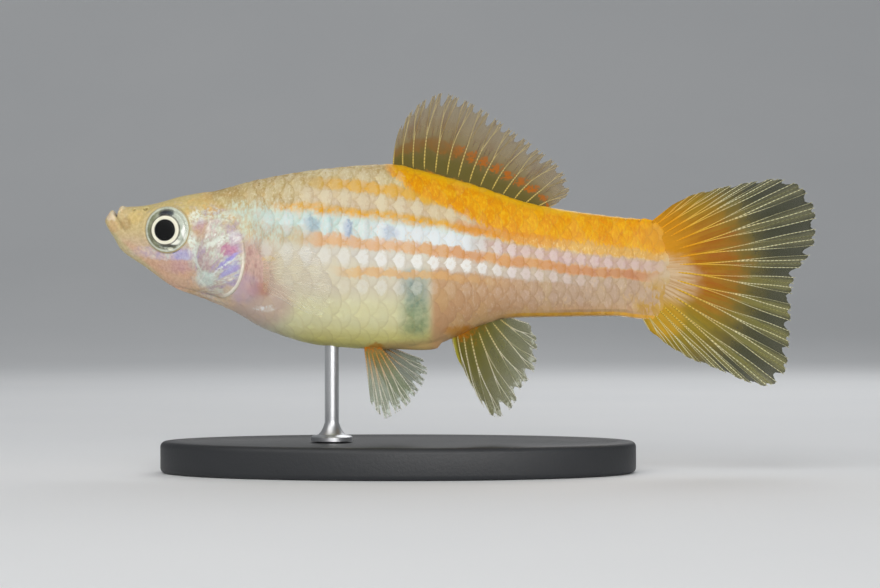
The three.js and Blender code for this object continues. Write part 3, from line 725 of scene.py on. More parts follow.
# Head: warm tan above, pink and lilac cheeks, a silvery gill cover with violet patches
def headColours(paint, x, height, cover, cloud, grain, spot):
    fleck = paint.noise(0.36, 3, 0.65)
    gleam = paint.noise(1.1, 3, 0.6)
    below = height - x.follow([[0, 3.9], [4.8, -0.9], [9, -3.8], [15, -6.2], [20, -9]])
    opercle = (cover + (gleam - 0.5) * 1.5 + cloud * 0.8).rise(1.36, 0.66)

    # A soft streak about a place, leaning by a slope
    def stroke(atX, atHeight, slope, reach, rise):
        out = x - atX
        return paint.spot(out, height - atHeight - out * slope + grain * 0.8, reach, rise, 0.2)

    # Streaks that fan out over the gill cover from its lower front corner
    fanX, fanHeight = x - 11.2, height + 4.6
    turn = fanHeight.math("ARCTAN2", fanX)
    away = (fanX ** 2 + fanHeight ** 2) ** 0.5
    streak = paint.streaks(turn * 5.5, away * 0.3)
    pearl = paint.node("ShaderNodeValToRGB", {"stops": [
        (0.34, (160, 146, 200)), (0.42, (176, 160, 178)), (0.48, (182, 172, 164)),
        (0.53, (202, 218, 208)), (0.58, (186, 166, 174)), (0.66, (228, 238, 230))]},
        {0: streak * 0.8 + gleam * 0.2})
    lilac = paint.node("ShaderNodeValToRGB", {"stops": [
        (0.34, (178, 172, 226)), (0.46, (198, 182, 214)), (0.54, (222, 204, 208)),
        (0.62, (216, 226, 226)), (0.7, (204, 180, 196))]}, {0: gleam * 0.75 + fleck * 0.25})

    base = paint.mix((206, 186, 134), (208, 184, 156), height.rise(3.8, 1.0))
    layers = [
        ((202, 184, 118), height.rise(4.6, 6.0) * x.rise(2.5, 5) * 0.7),
        ((214, 186, 104), spot(4.0, 4.9, 1.1, 0.9) * 0.5),
        ((224, 178, 96), gleam.rise(0.5, 0.62) * x.rise(9, 13) * height.rise(3.4, 5.4) * 0.7),
        ((190, 172, 148), gleam.rise(0.46, 0.36) * height.rise(4.4, 6) * 0.5),
        ((226, 168, 70), spot(18.2, 6.7, 1.5, 1.2) * (0.3 + cloud)),
        ((206, 170, 92), spot(13.4, 6.6, 2.6, 1.4) * (0.3 + cloud * 1.5)),
        ((216, 174, 142), paint.spot(x - 5.4, height + 0.7 + (x - 5.4) * 0.72, 3.4, 1.5) * 0.8),
        ((216, 168, 142), paint.spot(x - 8.2 + cloud * 3, height + 2.5 + cloud * 2, 4.4, 2.8)
         * (0.62 + cloud)),
        ((196, 152, 158), spot(9.6, -1.0, 2.8, 1.2) * (0.5 + cloud * 1.5)),
        ((196, 162, 124), spot(12.2, -4.8, 2.8, 1.0) * 0.8),
        ((196, 186, 138), below.rise(0.9, 0.2) * x.rise(9, 5) * 0.8),
    ]
    base = paint.over(base, layers)
    band = paint.spot(x - 8.0 + cloud, height - 0.45 + (x - 8.0) * 0.05 + grain * 1.2, 4.8, 0.95)
    base = paint.mix(base, lilac, band * (0.5 + x.rise(4, 10) * 0.4))
    layers = [
        ((156, 162, 222), spot(10.4, 0.2, 1.5, 0.8) * (0.6 + cloud)),
        ((228, 240, 228), spot(11.5, 1.9, 0.7, 1.2) * fleck.rise(0.3, 0.55)),
        ((150, 108, 52), spot(2.75, 4.1, 0.9, 0.9) * 0.4),
        ((232, 214, 176), spot(2.1, 6.1, 0.5, 0.6) * 0.7),
        ((232, 214, 186), spot(0.9, 5.1, 0.8, 0.7) * 0.8),
        ((206, 166, 116), spot(1.2, 3.8, 0.7, 0.9) * 0.6),
        ((228, 234, 218), spot(11.9, 4.8, 1.1, 1.0) * fleck.rise(0.3, 0.6)),
        ((214, 226, 208), spot(15.0, 5.3, 3.4, 0.9) * fleck.rise(0.36, 0.6) * 0.9),
    ]
    base = paint.over(base, layers)
    base = paint.mix(base, pearl, opercle * (0.62 + gleam * 0.5))
    ringed = ((x - 14.0) ** 2 + (height - 0.1) ** 2) ** 0.5
    ringed = (ringed + cloud * 1.8).near(2.3, 0.3) * x.rise(15.4, 13.6) * height.rise(2.6, 0.4)
    layers = [
        ((208, 156, 122), spot(12.6, 3.2, 1.2, 1.2) * 0.5),
        ((190, 166, 150), spot(14.0, 2.0, 1.8, 1.4) * fleck.rise(0.6, 0.4) * 0.5),
        ((188, 112, 156), spot(16.0, 0.8, 1.2, 1.0) * streak.rise(0.64, 0.46) * 0.8),
        ((180, 136, 156), spot(13.0, -0.7, 1.1, 1.2) * 0.4),
        ((148, 142, 220), spot(16.2, -1.6, 1.4, 2.0) * streak.rise(0.6, 0.46) * 0.7),
        ((226, 238, 228), stroke(15.0, 2.1, 0.42, 2.6, 0.5) * gleam.rise(0.36, 0.5) * 0.8),
        ((216, 230, 222), ringed * gleam.rise(0.4, 0.52) * 0.75),
        ((146, 142, 222), stroke(15.9, -0.5, 0.7, 1.7, 0.36) * 0.8),
        ((222, 232, 230), stroke(15.2, -1.3, 0.7, 1.9, 0.22) * fleck.rise(0.34, 0.5) * 0.8),
        ((168, 174, 220), stroke(15.7, -2.0, 0.75, 1.4, 0.34) * 0.6),
        ((176, 140, 186), spot(16.8, 2.2, 0.8, 1.2) * 0.4),
        ((204, 226, 220), spot(13.0, -2.8, 1.4, 1.0) * 0.6),
        ((240, 246, 240), streak.rise(0.53, 0.68) * gleam.rise(0.36, 0.62) * opercle * 0.7),
        ((250, 246, 232), cover.near(0.955, 0.045) * x.rise(14.4, 16.0) * height.rise(1.4, -1.4) * 0.95),
    ]
    base = paint.over(base, layers)
    warm = paint.mix((150, 112, 66), (246, 228, 190), fleck.rise(0.36, 0.64))
    return paint.mix(base, warm, 0.14)


# Skin: one closed surface for head, jaw, trunk and tail, under the scales by their depth
skin = {
    "columns": 400,
    "around": 236,
    "weld": 1e-5,
    "snoutShare": 0.045,
    "endShare": 0.035,
    "places": [[0, 0.9], [0.6, 20.5], [1, 68]],
    "mouth": [[1.5, 7.2], [1.5, 5.6], [1.72, 4.9], [2.3, 3.9], [2.75, 3.0]],
    "mouthWidth": [[0, 1.0], [0.3, 0.6], [0.5, 0.2], [1, 0.16]],
    "mouthDepth": [[0, 1.25], [0.3, 0.95], [0.5, 0.25], [0.75, 0.14], [1, 0.02]],
    "mouthEnd": 4.5,
    "lipRise": 0.2,
    "lipWidth": 0.3,
    "face": [2, 13],
    "underCoat": 0.02,
    "creases": [
        {"deep": 0.11, "wide": 0.26,
         "line": [[11.0, 3.6], [11.7, 1.9], [11.95, -0.4], [11.4, -2.4], [9.9, -3.7]]},
        {"deep": 0.12, "wide": 0.22, "line": [[3.9, 2.5], [3.35, 1.8], [2.85, 1.05]]},
        {"deep": 0.06, "wide": 0.3, "line": [[3.1, 1.0], [5.0, -0.2], [7.0, -1.5], [9.0, -2.6]]},
        {"deep": 0.05, "wide": 0.25, "line": [[6.6, 6.4], [5.4, 5.6], [4.6, 4.6]]},
    ],
    "throatFold": {"below": -2.5, "from": 8, "start": 0.5, "slope": 0.26, "deep": 0.16, "wide": 0.3},
}
eye = {"x": 8.2, "height": 3.4, "radius": 2.9, "dome": 0.85, "sunk": 0.4, "socket": 1.1,
       "folds": [[0.35, 0.08], [1.0, -0.05]], "foldWidth": 0.3}
nostrils = {
    "spots": [{"x": 3.9, "turn": 0.8, "radius": 0.24}, {"x": 5.3, "turn": 0.86, "radius": 0.32}],
    "deep": 0.4, "rim": 0.07, "shade": 0.5,
}
cover = {
    "centre": (14.6, 0.2),
    "outline": [[11.6, -2.8], [11.3, 0.6], [11.9, 3.4], [13.6, 5.3], [15.8, 5.5], [17.3, 3.8], [18, 1.2],
                [17.9, -1.6], [17, -3.9], [15.4, -5.1], [13.3, -4.6]],
    "proud": 0.24, "bed": 0.45, "around": 120, "rings": 40, "thickness": 0.3,
    "sunk": 0.16, "rimDrop": 0.1, "rimRise": 0.03, "crease": 0.05, "ripple": 0.035,
    "cheek": [9, 20], "ridges": [1.1, 1.17, 1.24], "ridgeWidth": 0.02, "ridgeRise": 0.05,
}
vent = {"from": 35.5, "to": 42.2, "rise": 0.5, "half": 1.0}
pectoralLobe = {"x": 19.9, "height": -2.4, "reach": 1.1, "tall": 2.3, "rise": 0.5}
coverLine = lineThrough(cover["outline"], closed=True)

# The cover share of any place well away from the gill cover
farFromCover = 3


# Distance of the gill cover's rim from its centre in each direction
def coverRadii():
    radii = []
    steps = 720
    for k in range(steps + 1):
        p = coverLine(k / steps) - Vector(cover["centre"])
        radii.append((math.atan2(p.y, p.x), p.length))
    return sorted(radii)


coverRim = coverRadii()
coverAngles = [angle for angle, radius in coverRim]


# 0 at the gill cover's centre and 1 at its rim
def coverShare(x, height):
    away = Vector((x, height)) - Vector(cover["centre"])
    i = bisect_right(coverAngles, math.atan2(away.y, away.x)) % len(coverRim)
    return away.length / coverRim[i][1]


# The eye's seat on a flank and the direction in which it looks
def eyeSeat(side):
    reach = 0.5
    here = Vector((eye["x"], sideAt(eye["x"], eye["height"]), eye["height"]))
    along = Vector((reach, sideAt(eye["x"] + reach, eye["height"]) - here.y, 0))
    up = Vector((0, sideAt(eye["x"], eye["height"] + reach) - here.y, reach))
    outward = up.cross(along).normalized()
    here -= outward * eye["sunk"]
    return Vector((here.x, here.y * side, here.z)), Vector((outward.x, outward.y * side, outward.z))


# Nearest distance from a place to a line in the side view, and the share along it
def nearest(line, x, height):
    best = (1e9, 0)
    for k, p in enumerate(line):
        away = math.hypot(x - p[0], height - p[1])
        if away < best[0]:
            best = (away, k / (len(line) - 1))
    return best


def sampled(points, count=60):
    line = lineThrough(points)
    return [line(k / (count - 1)) for k in range(count)]


mouthLine = sampled(skin["mouth"])
creaseLines = [sampled(crease["line"]) for crease in skin["creases"]]
mouthWidth = curveThrough(skin["mouthWidth"])
mouthDepth = curveThrough(skin["mouthDepth"])
seat, gaze = eyeSeat(1)
nostrilSpots = [(onBody(n["x"], n["turn"]), n["radius"]) for n in nostrils["spots"]]


# How far the skin lies above the body's plain surface, and how much painted shade darkens it there: in the
# mouth slit, round the eye's rim and in the nostrils
def skinRelief(p):
    x, y, height = p.x, abs(p.y), p.z
    bare = headEdge(height)
    lift = -skin["underCoat"] - coat["depth"] * step(bare - 0.5, bare + 1.6, x)
    shade = 0.0
    if x < skin["mouthEnd"]:
        away, share = nearest(mouthLine, x, height)
        half = mouthWidth(share) / 2
        inside = step(half + 0.12, half - 0.1, away)
        lift -= inside * mouthDepth(share)
        lift += skin["lipRise"] * bump(away, half + 0.34, skin["lipWidth"]) * step(1.0, 0.8, share)
        # Painted shade inside the mouth slit, strongest at its upper end
        shade = inside * blend(0.9, 0.12, step(0.3, 0.5, share)) * step(1.0, 0.8, share)
    if skin["face"][0] < x < skin["face"][1]:
        for crease, line in zip(skin["creases"], creaseLines):
            away, share = nearest(line, x, height)
            ends = math.sin(math.pi * clamp(share, 0.02, 0.98)) ** 0.5
            lift -= crease["deep"] * bump(away, 0, crease["wide"]) * ends
        q = Vector((x, y, height)) - seat
        out = q.dot(gaze)
        away = (q - gaze * out).length
        if abs(out) < 3:
            lift -= eye["socket"] * step(eye["radius"] + 0.04, eye["radius"] - 0.25, away)
            for beyond, rise in eye["folds"]:
                lift += rise * bump(away, eye["radius"] + beyond, eye["foldWidth"])
            # A thin ring of painted shade just outside the eye's rim
            shade = max(shade, 0.1 * bump(away, eye["radius"] + 0.04, 0.08))
        for spot, radius in nostrilSpots:
            away = (Vector((x, y, height)) - spot).length
            lift -= nostrils["deep"] * step(radius, radius * 0.3, away)
            lift += nostrils["rim"] * bump(away, radius * 1.3, 0.1)
            # Painted shade inside each nostril
            shade = max(shade, nostrils["shade"] * step(radius, radius * 0.4, away))
    if cover["cheek"][0] < x < cover["cheek"][1]:
        share = coverShare(x, height)
        lift -= cover["bed"] * step(0.9, 0.7, share) * step(2.0, 3.2, y)
        for ridge in cover["ridges"]:
            lift += cover["ridgeRise"] * bump(share, ridge, cover["ridgeWidth"]) * step(0, -3, height)
        fold = skin["throatFold"]
        if height < fold["below"]:
            middle = fold["start"] + fold["slope"] * (x - fold["from"])
            ends = step(fold["from"], fold["from"] + 2, x) * step(17, 14, x)
            lift -= fold["deep"] * bump(y, middle, fold["wide"]) * ends
    lobe = math.hypot((x - pectoralLobe["x"]) / pectoralLobe["reach"],
                      (height - pectoralLobe["height"]) / pectoralLobe["tall"])
    lift += pectoralLobe["rise"] * step(1.3, 0.3, lobe) * step(2, 3, y)
    if height < -9 and vent["from"] < x < vent["to"] + 1:
        along = step(vent["from"], vent["to"] - 1, x) * step(vent["to"] + 0.3, vent["to"] - 0.3, x)
        lift += vent["rise"] * along * bump(y, 0, vent["half"])
    return lift, shade


skinPlaces = curveThrough(skin["places"])


# The place along the body at a share of the skin's columns, which crowd at both ends
def skinPlace(share):
    if share < skin["snoutShare"]:
        return body["snout"]["length"] * (1 - math.cos(share / skin["snoutShare"] * math.pi / 2))
    if share > 1 - skin["endShare"]:
        start = body["fleshEnd"]["start"]
        part = (share - 1 + skin["endShare"]) / skin["endShare"]
        return start + (body["length"] - start) * math.sin(part * math.pi / 2)
    part = (share - skin["snoutShare"]) / (1 - skin["snoutShare"] - skin["endShare"])
    return skinPlaces(part)


# A turn folded over to the right flank
def halfTurn(turn):
    folded = (turn + math.pi / 2) % (2 * math.pi) - math.pi / 2
    return math.pi - folded if folded > math.pi / 2 else folded


def makeSkin(material):
    bm = bmesh.new()
    bmesh.ops.create_grid(bm, x_segments=skin["columns"], y_segments=skin["around"], size=0.5)
    rows = bm.verts.layers.float_vector.new("rows")
    for vert in bm.verts:
        x = skinPlace(clamp(vert.co.x + 0.5))
        turn = (vert.co.y + 0.5) * 2 * math.pi
        vert.co = onBody(x, turn)
        vert[rows] = (lengthAtTurn(x, halfTurn(turn)) / rowPitch(x), 0, 0)
    bmesh.ops.remove_doubles(bm, verts=bm.verts, dist=skin["weld"])
    bmesh.ops.recalc_face_normals(bm, faces=bm.faces)
    if bm.calc_volume(signed=True) < 0:
        bmesh.ops.reverse_faces(bm, faces=bm.faces)
    bm.normal_update()
    moves = []
    for vert in bm.verts:
        lift, shade = skinRelief(vert.co)
        share = coverShare(vert.co.x, vert.co.z) if 8 < vert.co.x < 20 else farFromCover
        # The rows attribute holds the scale row, the painted shade and the gill cover share
        vert[rows] = (vert[rows][0], shade, share)
        moves.append(vert.normal * lift)
    for vert, move in zip(bm.verts, moves):
        vert.co += move
    return makePiece(bm, "skin", material, ("head", "lower_jaw", "trunk", "tail"))


# Light spreads under the surface of the skin and of the scales alike
fleshGlow = {"Subsurface Weight": 0.22, "Subsurface Scale": mm, "Subsurface Radius": (1.0, 0.6, 0.4)}


def skinPaint():
    paint = Paint("skinFlesh")
    base = fleshColours(paint)
    fine = paint.noise(0.22, 3, 0.6)
    coarse = paint.noise(1.1, 2)
    return paint.done(base, {
        "Normal": paint.relief(fine * 0.5 + coarse, 0.05), "Roughness": 0.38 + fine * 0.16,
        "Specular IOR Level": 0.2, "Coat Weight": 0.06, "Coat Roughness": 0.2, **fleshGlow})


makeSkin(skinPaint())
print("skin done")


# Gill covers: thin plates that rise out of the cheek and end in a free, rounded rim
def makeCover(name, side, material):
    bm = bmesh.new()
    bmesh.ops.create_grid(bm, x_segments=cover["around"], y_segments=cover["rings"], size=0.5)
    rows = bm.verts.layers.float_vector.new("rows")
    centre = Vector(cover["centre"])
    for vert in bm.verts:
        rim = coverLine(vert.co.x + 0.5)
        share = clamp(vert.co.y + 0.5) ** 0.8
        at = centre.lerp(rim, share)
        ahead = step(0.3, -0.6, (at.x - centre.x) / 3.4)
        over = step(2.2, 4.4, at.y)
        sunk = max(ahead, over) * step(0.62, 0.95, share)
        lift = cover["proud"] * step(1.0, 0.35, share - 0.35 * (1 - max(ahead, over)))
        lift = blend(lift, -cover["sunk"], sunk)
        lift -= cover["rimDrop"] * step(0.93, 1.0, share)
        lift += cover["rimRise"] * bump(share, 0.94, 0.05) * (1 - sunk)
        crease = bump(at.y + 0.42 * (at.x - 12.5), -1.9, 0.25)
        lift -= cover["crease"] * crease * step(0.2, 0.5, share)
        grain = noise.noise(Vector((at.x * 0.9, at.y * 0.9, side * 3.0)))
        lift += cover["ripple"] * grain * (1 - sunk)
        vert.co = Vector((at.x, side * (sideAt(at.x, at.y) + lift), at.y))
        vert[rows] = (rowAt(at.x, at.y), 0, share)
    bmesh.ops.remove_doubles(bm, verts=bm.verts, dist=weldGap)
    bm.normal_update()
    if sum(vert.normal.y for vert in bm.verts) * side < 0:
        bmesh.ops.reverse_faces(bm, faces=bm.faces)
    bmesh.ops.solidify(bm, geom=bm.faces[:], thickness=cover["thickness"])
    bmesh.ops.recalc_face_normals(bm, faces=bm.faces)
    return makePiece(bm, name, material, (name,))


# The scale row at a place in the side view, found by halving
def rowAt(x, height):
    low, high = -math.pi / 2, math.pi / 2
    for _ in range(girth["halvings"]):
        middle = (low + high) / 2
        if onBody(x, middle).z < height:
            low = middle
        else:
            high = middle
    return lengthAtTurn(x, middle) / rowPitch(x)


def coverPaint():
    paint = Paint("gillCoverPearl")
    base = fleshColours(paint)
    fine = paint.noise(0.3, 3, 0.6)
    return paint.done(base, {
        "Normal": paint.relief(fine, 0.05), "Roughness": 0.3 + fine * 0.2, "Metallic": fine * 0.15,
        "Specular IOR Level": 0.4, "Coat Weight": 0.25, "Coat Roughness": 0.15})


coverMaterial = coverPaint()
for sideName, side in sides.items():
    makeCover(f"gill_cover_{sideName}", side, coverMaterial)
print("gill covers done")


# Scales: one small closed plate, copied along each row; the free edge lies over the next scales
def scaleTemplate():
    bm = bmesh.new()
    bmesh.ops.create_cone(bm, cap_ends=True, segments=coat["sides"], radius1=1, radius2=1, depth=1)
    top = [face for face in bm.faces if face.normal.z > 0.9]
    for inset in coat["rings"]:
        bmesh.ops.inset_region(bm, faces=top, thickness=inset, use_even_offset=True)
    uv = bm.loops.layers.uv.new("OFBake")
    for face in bm.faces:
        for loop in face.loops:
            loop[uv].uv = (loop.vert.co.x / 2, loop.vert.co.y / 2)
    mesh = bpy.data.meshes.new("scaleTemplate")
    bm.to_mesh(mesh)
    bm.free()
    return mesh


# How strongly a row shows rings of pearl, or upright pale bars, along the body
pearls = {
    0: [[22, 0.0], [30, 0.25], [38, 0.56], [46, 0.6], [55, 0.34], [62, 0.1], [69, 0.0]],
    2: [[46, 0.0], [50, 0.2], [60, 0.24], [70, 0.06]],
    -2: [[28, 0.0], [33, 0.3], [37, 0.25], [44, 0.06], [60, 0.06], [68, 0.0]],
}
bars = {
    8: [[12, 0.0], [18, 0.4], [34, 0.3], [37, 0.0]],
    7: [[12, 0.0], [18, 0.5], [34, 0.35], [37, 0.0]],
    6: [[14, 0.0], [20, 0.6], [34, 0.65], [38, 0.2]],
    5: [[14, 0.0], [20, 0.55], [30, 0.35], [38, 0.1]],
    4: [[15, 0.0], [22, 0.7], [38, 0.7], [44, 0.35], [48, 0.0]],
    3: [[16, 0.0], [22, 0.35], [44, 0.05], [51, 0.14], [65, 0.2], [68, 0.0]],
    2: [[18, 0.1], [24, 0.6], [46, 0.66], [52, 0.5], [66, 0.4], [70, 0.1]],
    1: [[17, 0.1], [24, 0.2], [60, 0.16], [70, 0.1]],
    0: [[17, 0.1], [22, 0.6], [36, 0.5], [56, 0.3], [70, 0.2]],
    -1: [[20, 0.1], [26, 0.3], [40, 0.1], [50, 0.2], [68, 0.2]],
    -2: [[20, 0.0], [26, 0.25], [38, 0.1], [50, 0.15], [68, 0.15]],
    -3: [[42, 0.0], [50, 0.12], [68, 0.1]],
}


def strengthAt(table, row, x):
    points = table.get(row)
    inside = points and points[0][0] < x < points[-1][0]
    return curveThrough(points)(x) if inside else 0


def makeScales(name, side, material, template):
    draw = random.Random(coat["seed"] + side)
    bm = bmesh.new()
    bake = bm.loops.layers.uv.new("OFBake")
    rowsLayer = bm.verts.layers.float_vector.new("rows")
    spotLayer = bm.verts.layers.float_vector.new("scaleSpot")
    noteLayer = bm.verts.layers.float_vector.new("scaleNote")
    rootReach, edgeReach = coat["reach"]
    firstRow, lastRow = coat["rows"]
    firstColumn, lastColumn = coat["columns"]
    made = 0
    for row in range(firstRow, lastRow + 1):
        for number in range(firstColumn, lastColumn + 1):
            column = number + 0.5 * (row % 2)
            x = stationOf(column)
            length = row * rowPitch(x)
            low, high = girthEnds(x)
            past = max(length - high, low - length)
            if x > coat["tailEdge"] or past > coat["pastRidge"]:
                continue
            clear = x - headEdge(onFlank(x, length, 0, side).z)
            if clear < 0:
                continue
            size = step(*coat["headFade"], clear) * (1 - coat["headSize"]) + coat["headSize"]
            size *= 1 - coat["tailShrink"] * step(*coat["tailFade"], x)
            lean = draw.uniform(*coat["lean"])
            tilt = draw.uniform(*coat["tilt"])
            tint = draw.uniform(-1, 1)
            pearl = strengthAt(pearls, row, x) * draw.uniform(*coat["pearlChange"])
            bar = strengthAt(bars, row, x) * draw.uniform(*coat["barChange"])

            # The free edges lie flatter towards the tail fin and on the belly
            raised = step(*coat["tailClose"], x) * blend(0.5, 1, step(*coat["bellyClose"], row))

            def move(p):
                radial = math.hypot(p.x, p.y)
                along = p.x * (edgeReach if p.x > 0 else rootReach) * size
                across = p.y * coat["width"] * size * (1 + coat["widening"] * p.x) + lean * along
                rearward = (p.x + 1) / 2
                lift = blend(coat["rootLift"], coat["edgeLift"] * tilt * raised, rearward ** 1.25)
                lift -= coat["depth"]
                if p.z > 0:
                    lift += coat["thickness"] + coat["crown"] * (1 - radial ** 2)
                    lift -= coat["rimThinning"] * step(0.8, 1.0, radial)
                at = stationOf(column + along)
                return onFlank(min(at, coat["tailLimit"]), (row + across) * rowPitch(at), lift, side)

            verts, faces = stamp(bm, template, move)
            for vert, source in zip(verts, template.vertices):
                spot = source.co
                vert[spotLayer] = (spot.x, spot.y, bar)
                vert[noteLayer] = (pearl, tint, row)
                vert[rowsLayer] = (row + spot.y * coat["width"] * size, 0, farFromCover)
            u = (x / body["length"]) * 0.96 + 0.02
            v = 0.5 + 0.5 * side * (0.03 + 0.94 * (length - low) / (high - low))
            for face in faces:
                for loop in face.loops:
                    loop[bake].uv = Vector((u, v)) + loop[bake].uv * coat["bakePatch"]
            made += 1
    if bm.calc_volume(signed=True) < 0:
        bmesh.ops.reverse_faces(bm, faces=bm.faces)
    makePiece(bm, name, material, sharp=40)
    print(name, made, "scales")


# Scales show the same markings, with their own rims, rings of pearl and small differences
def scalePaint():
    paint = Paint("scaleGloss")
    base = fleshColours(paint)
    x = paint.xyz()[0]
    along, across, bar = paint.attribute("scaleSpot")
    pearl, tint, row = paint.attribute("scaleNote")
    radial = (along ** 2 + across ** 2) ** 0.5
    behind = along.rise(-0.2, 0.4)
    rim = radial.rise(0.78, 0.97) * behind
    upper = row.rise(2.5, 3.5) * x.rise(44, 38)
    rear = x.rise(46, 54)
    fine = paint.noise(0.2, 3, 0.6)
    ragged = paint.noise(0.4, 3, 0.65) - 0.5
    upright = ((along - 0.34 + ragged * 1.3) / 0.46) ** 2 + ((across + ragged * 1.1) / 0.95) ** 2
    upright = upright.rise(1.5, 0.0)
    disc = (((along - 0.36 + ragged * 0.8) / 0.52) ** 2 + ((across + ragged * 0.7) / 0.54) ** 2) ** 0.5
    ringTint = paint.mix((246, 245, 240), (242, 222, 220), rear)
    barTint = paint.mix((238, 224, 188), (244, 244, 240), row.near(1.5, 1.8))
    barTint = paint.mix(barTint, (236, 210, 198), rear * row.rise(2.6, 2.4))
    barTint = paint.mix(barTint, (250, 214, 140), rear * row.rise(2.4, 2.6))
    ring = disc.near(0.58, 0.3) * 0.55 + disc.rise(1.3, 0.2) * 0.5
    base = paint.over(base, [
        ((255, 230, 130), tint.rise(0, 1) * 0.08),
        ((150, 100, 50), tint.rise(0, -1) * 0.06),
        ((176, 140, 88), along.rise(0.0, -0.4) * upper * 0.2),
        ((150, 118, 76), rim * 0.1),
    ])
    base = paint.mix(base, barTint, upright * bar * 0.64)
    base = paint.mix(base, ringTint, ring.rise(0, 1) * pearl)
    return paint.done(base, {
        "Normal": paint.relief(fine, 0.02), "Roughness": 0.4 - pearl * 0.08 + fine * 0.1,
        "Metallic": pearl * 0.06, "Specular IOR Level": 0.16, "Coat Weight": 0.05,
        "Coat Roughness": 0.2, **fleshGlow})


scaleMaterial = scalePaint()
template = scaleTemplate()
for sideName, side in sides.items():
    makeScales(f"scales_{sideName}", side, scaleMaterial, template)
bpy.data.meshes.remove(template)
print("scales done")


# Eyes: a black pupil in a cream ring, a silver iris with painted glints of light on it and a clear cornea
# over them
eyeLook = {
    "profile": [(0, 0.58), (0.6, 0.57), (1.1, 0.53), (1.26, 0.47), (1.32, 0.53), (1.42, 0.6), (1.6, 0.6),
                (1.76, 0.56), (1.86, 0.5), (2.2, 0.45), (2.5, 0.39), (2.68, 0.36), (2.8, 0.38),
                (2.9, 0.3), (2.94, 0.05), (2.5, -0.8), (1.3, -1.2), (0, -1.3)],
    "profileSteps": 4,
    "rim": 0.3,
    "corneaGap": 0.04,
    "corneaSteps": 16,
    "corneaBend": 1.17,
    "pupil": (-0.26, -0.1),
    "around": 96,
}


def spun(profile, steps):
    bm = bmesh.new()
    verts = [bm.verts.new((r, 0, z)) for r, z in profile]
    for a, b in zip(verts, verts[1:]):
        bm.edges.new((a, b))
    bmesh.ops.spin(bm, geom=bm.verts[:] + bm.edges[:], axis=(0, 0, 1), cent=(0, 0, 0),
                   angle=2 * math.pi, steps=steps, use_merge=True)
    bmesh.ops.remove_doubles(bm, verts=bm.verts, dist=weldGap)
    bmesh.ops.recalc_face_normals(bm, faces=bm.faces)
    return bm


def smoothProfile(points):
    line = lineThrough(points)
    count = (len(points) - 1) * eyeLook["profileSteps"]
    spots = [line(k / count) for k in range(count + 1)]
    return [(max(p.x, 0), p.y) for p in spots]


# Turns an eye from its own axis to its seat, with its first axis towards the tail
def eyePlace(side):
    here, out = eyeSeat(side)
    rear = (Vector((1, 0, 0)) - out * out.x).normalized()
    up = out.cross(rear) * -side
    up = up if up.z > 0 else -up
    turn = Matrix((rear, up, out)).transposed().to_4x4()
    return Matrix.Translation(here) @ turn


def makeEye(name, side, ballMaterial, corneaMaterial):
    bm = spun(smoothProfile(eyeLook["profile"]), eyeLook["around"])
    disc = bm.verts.layers.float_vector.new("disc")
    for vert in bm.verts:
        radius = math.hypot(vert.co.x, vert.co.y)
        shift = step(2.6, 1.5, radius) if vert.co.z > 0 else 0
        vert[disc] = (vert.co.x, vert.co.y, radius if vert.co.z > 0 else 3)
        vert.co.x += eyeLook["pupil"][0] * shift
        vert.co.y += eyeLook["pupil"][1] * shift
    bmesh.ops.transform(bm, matrix=eyePlace(side), verts=bm.verts)
    makePiece(bm, f"eyeball_{name}", ballMaterial, (f"eye_{name}",))
    gap = eyeLook["corneaGap"]
    rim = eye["radius"] - gap
    low = eyeLook["rim"]
    steps = eyeLook["corneaSteps"]
    dome = [(rim * math.sin(turn), low + (eye["dome"] - low) * math.cos(turn))
            for turn in (math.pi / 2 * k / steps for k in range(steps + 1))]
    bm = spun(dome + [(rim - 0.1, low - gap), (0, low - gap)], eyeLook["around"])
    bmesh.ops.transform(bm, matrix=eyePlace(side), verts=bm.verts)
    makePiece(bm, f"cornea_{name}", corneaMaterial, sharp=60)


def eyePaint():
    paint = Paint("eyeSilver")
    along, up, radius = paint.attribute("disc")
    streak = paint.noise(0.5, 3, 0.6)
    fine = paint.noise(0.12, 3, 0.6)

    def spot(atX, atUp, reach, rise):
        return paint.spot(along - atX + (streak - 0.5) * 0.3, up - atUp, reach, rise)

    base = paint.mix((112, 114, 96), (204, 208, 196), streak.rise(0.38, 0.62))
    ring = radius.near(2.7, 0.11)
    base = paint.over(base, [
        ((206, 214, 200), (along + up * 0.4).rise(0.2, 1.6) * radius.near(2.25, 0.4) * 0.7),
        ((140, 144, 112), along.rise(-0.4, -1.6) * radius.near(2.2, 0.4) * 0.8),
        ((46, 50, 56), spot(-0.05, 2.05, 1.0, 0.56)),
        ((70, 76, 82), spot(0.55, 2.05, 0.5, 0.5) * 0.7),
        ((80, 82, 76), spot(0.2, -1.95, 1.2, 0.3) * 0.9),
        ((104, 100, 84), spot(-1.9, -0.6, 0.4, 1.1) * 0.7),
        # Painted highlights: the next two white spots are glints of light, painted on the iris at its lower
        # right
        ((250, 250, 238), spot(1.15, -1.55, 0.7, 0.42)),
        ((250, 250, 230), spot(0.45, -2.45, 0.4, 0.22)),
        ((250, 252, 246), spot(2.25, -0.4, 0.24, 1.0)),
        ((128, 128, 100), radius.near(2.42, 0.08) * 0.35),
        ((196, 202, 178), ring * (0.4 + streak * 0.6)),
        ((232, 236, 222), ring * (abs(up) + abs(along) - up * 0.4).rise(1.8, 3.4) * 0.6),
        ((200, 182, 140), radius.rise(2.8, 2.86)),
        ((250, 246, 226), radius.near(1.57, 0.24)),
        ((84, 78, 62), radius.near(1.86, 0.07) * 0.7),
        ((8, 9, 10), radius.rise(1.4, 1.3)),
    ])
    return paint.done(base, {
        "Normal": paint.relief(fine * radius.rise(1.3, 1.7), 0.05), "Roughness": 0.38,
        "Metallic": radius.rise(1.9, 2.0) * radius.rise(2.7, 2.6) * 0.2, "Specular IOR Level": 0.2})


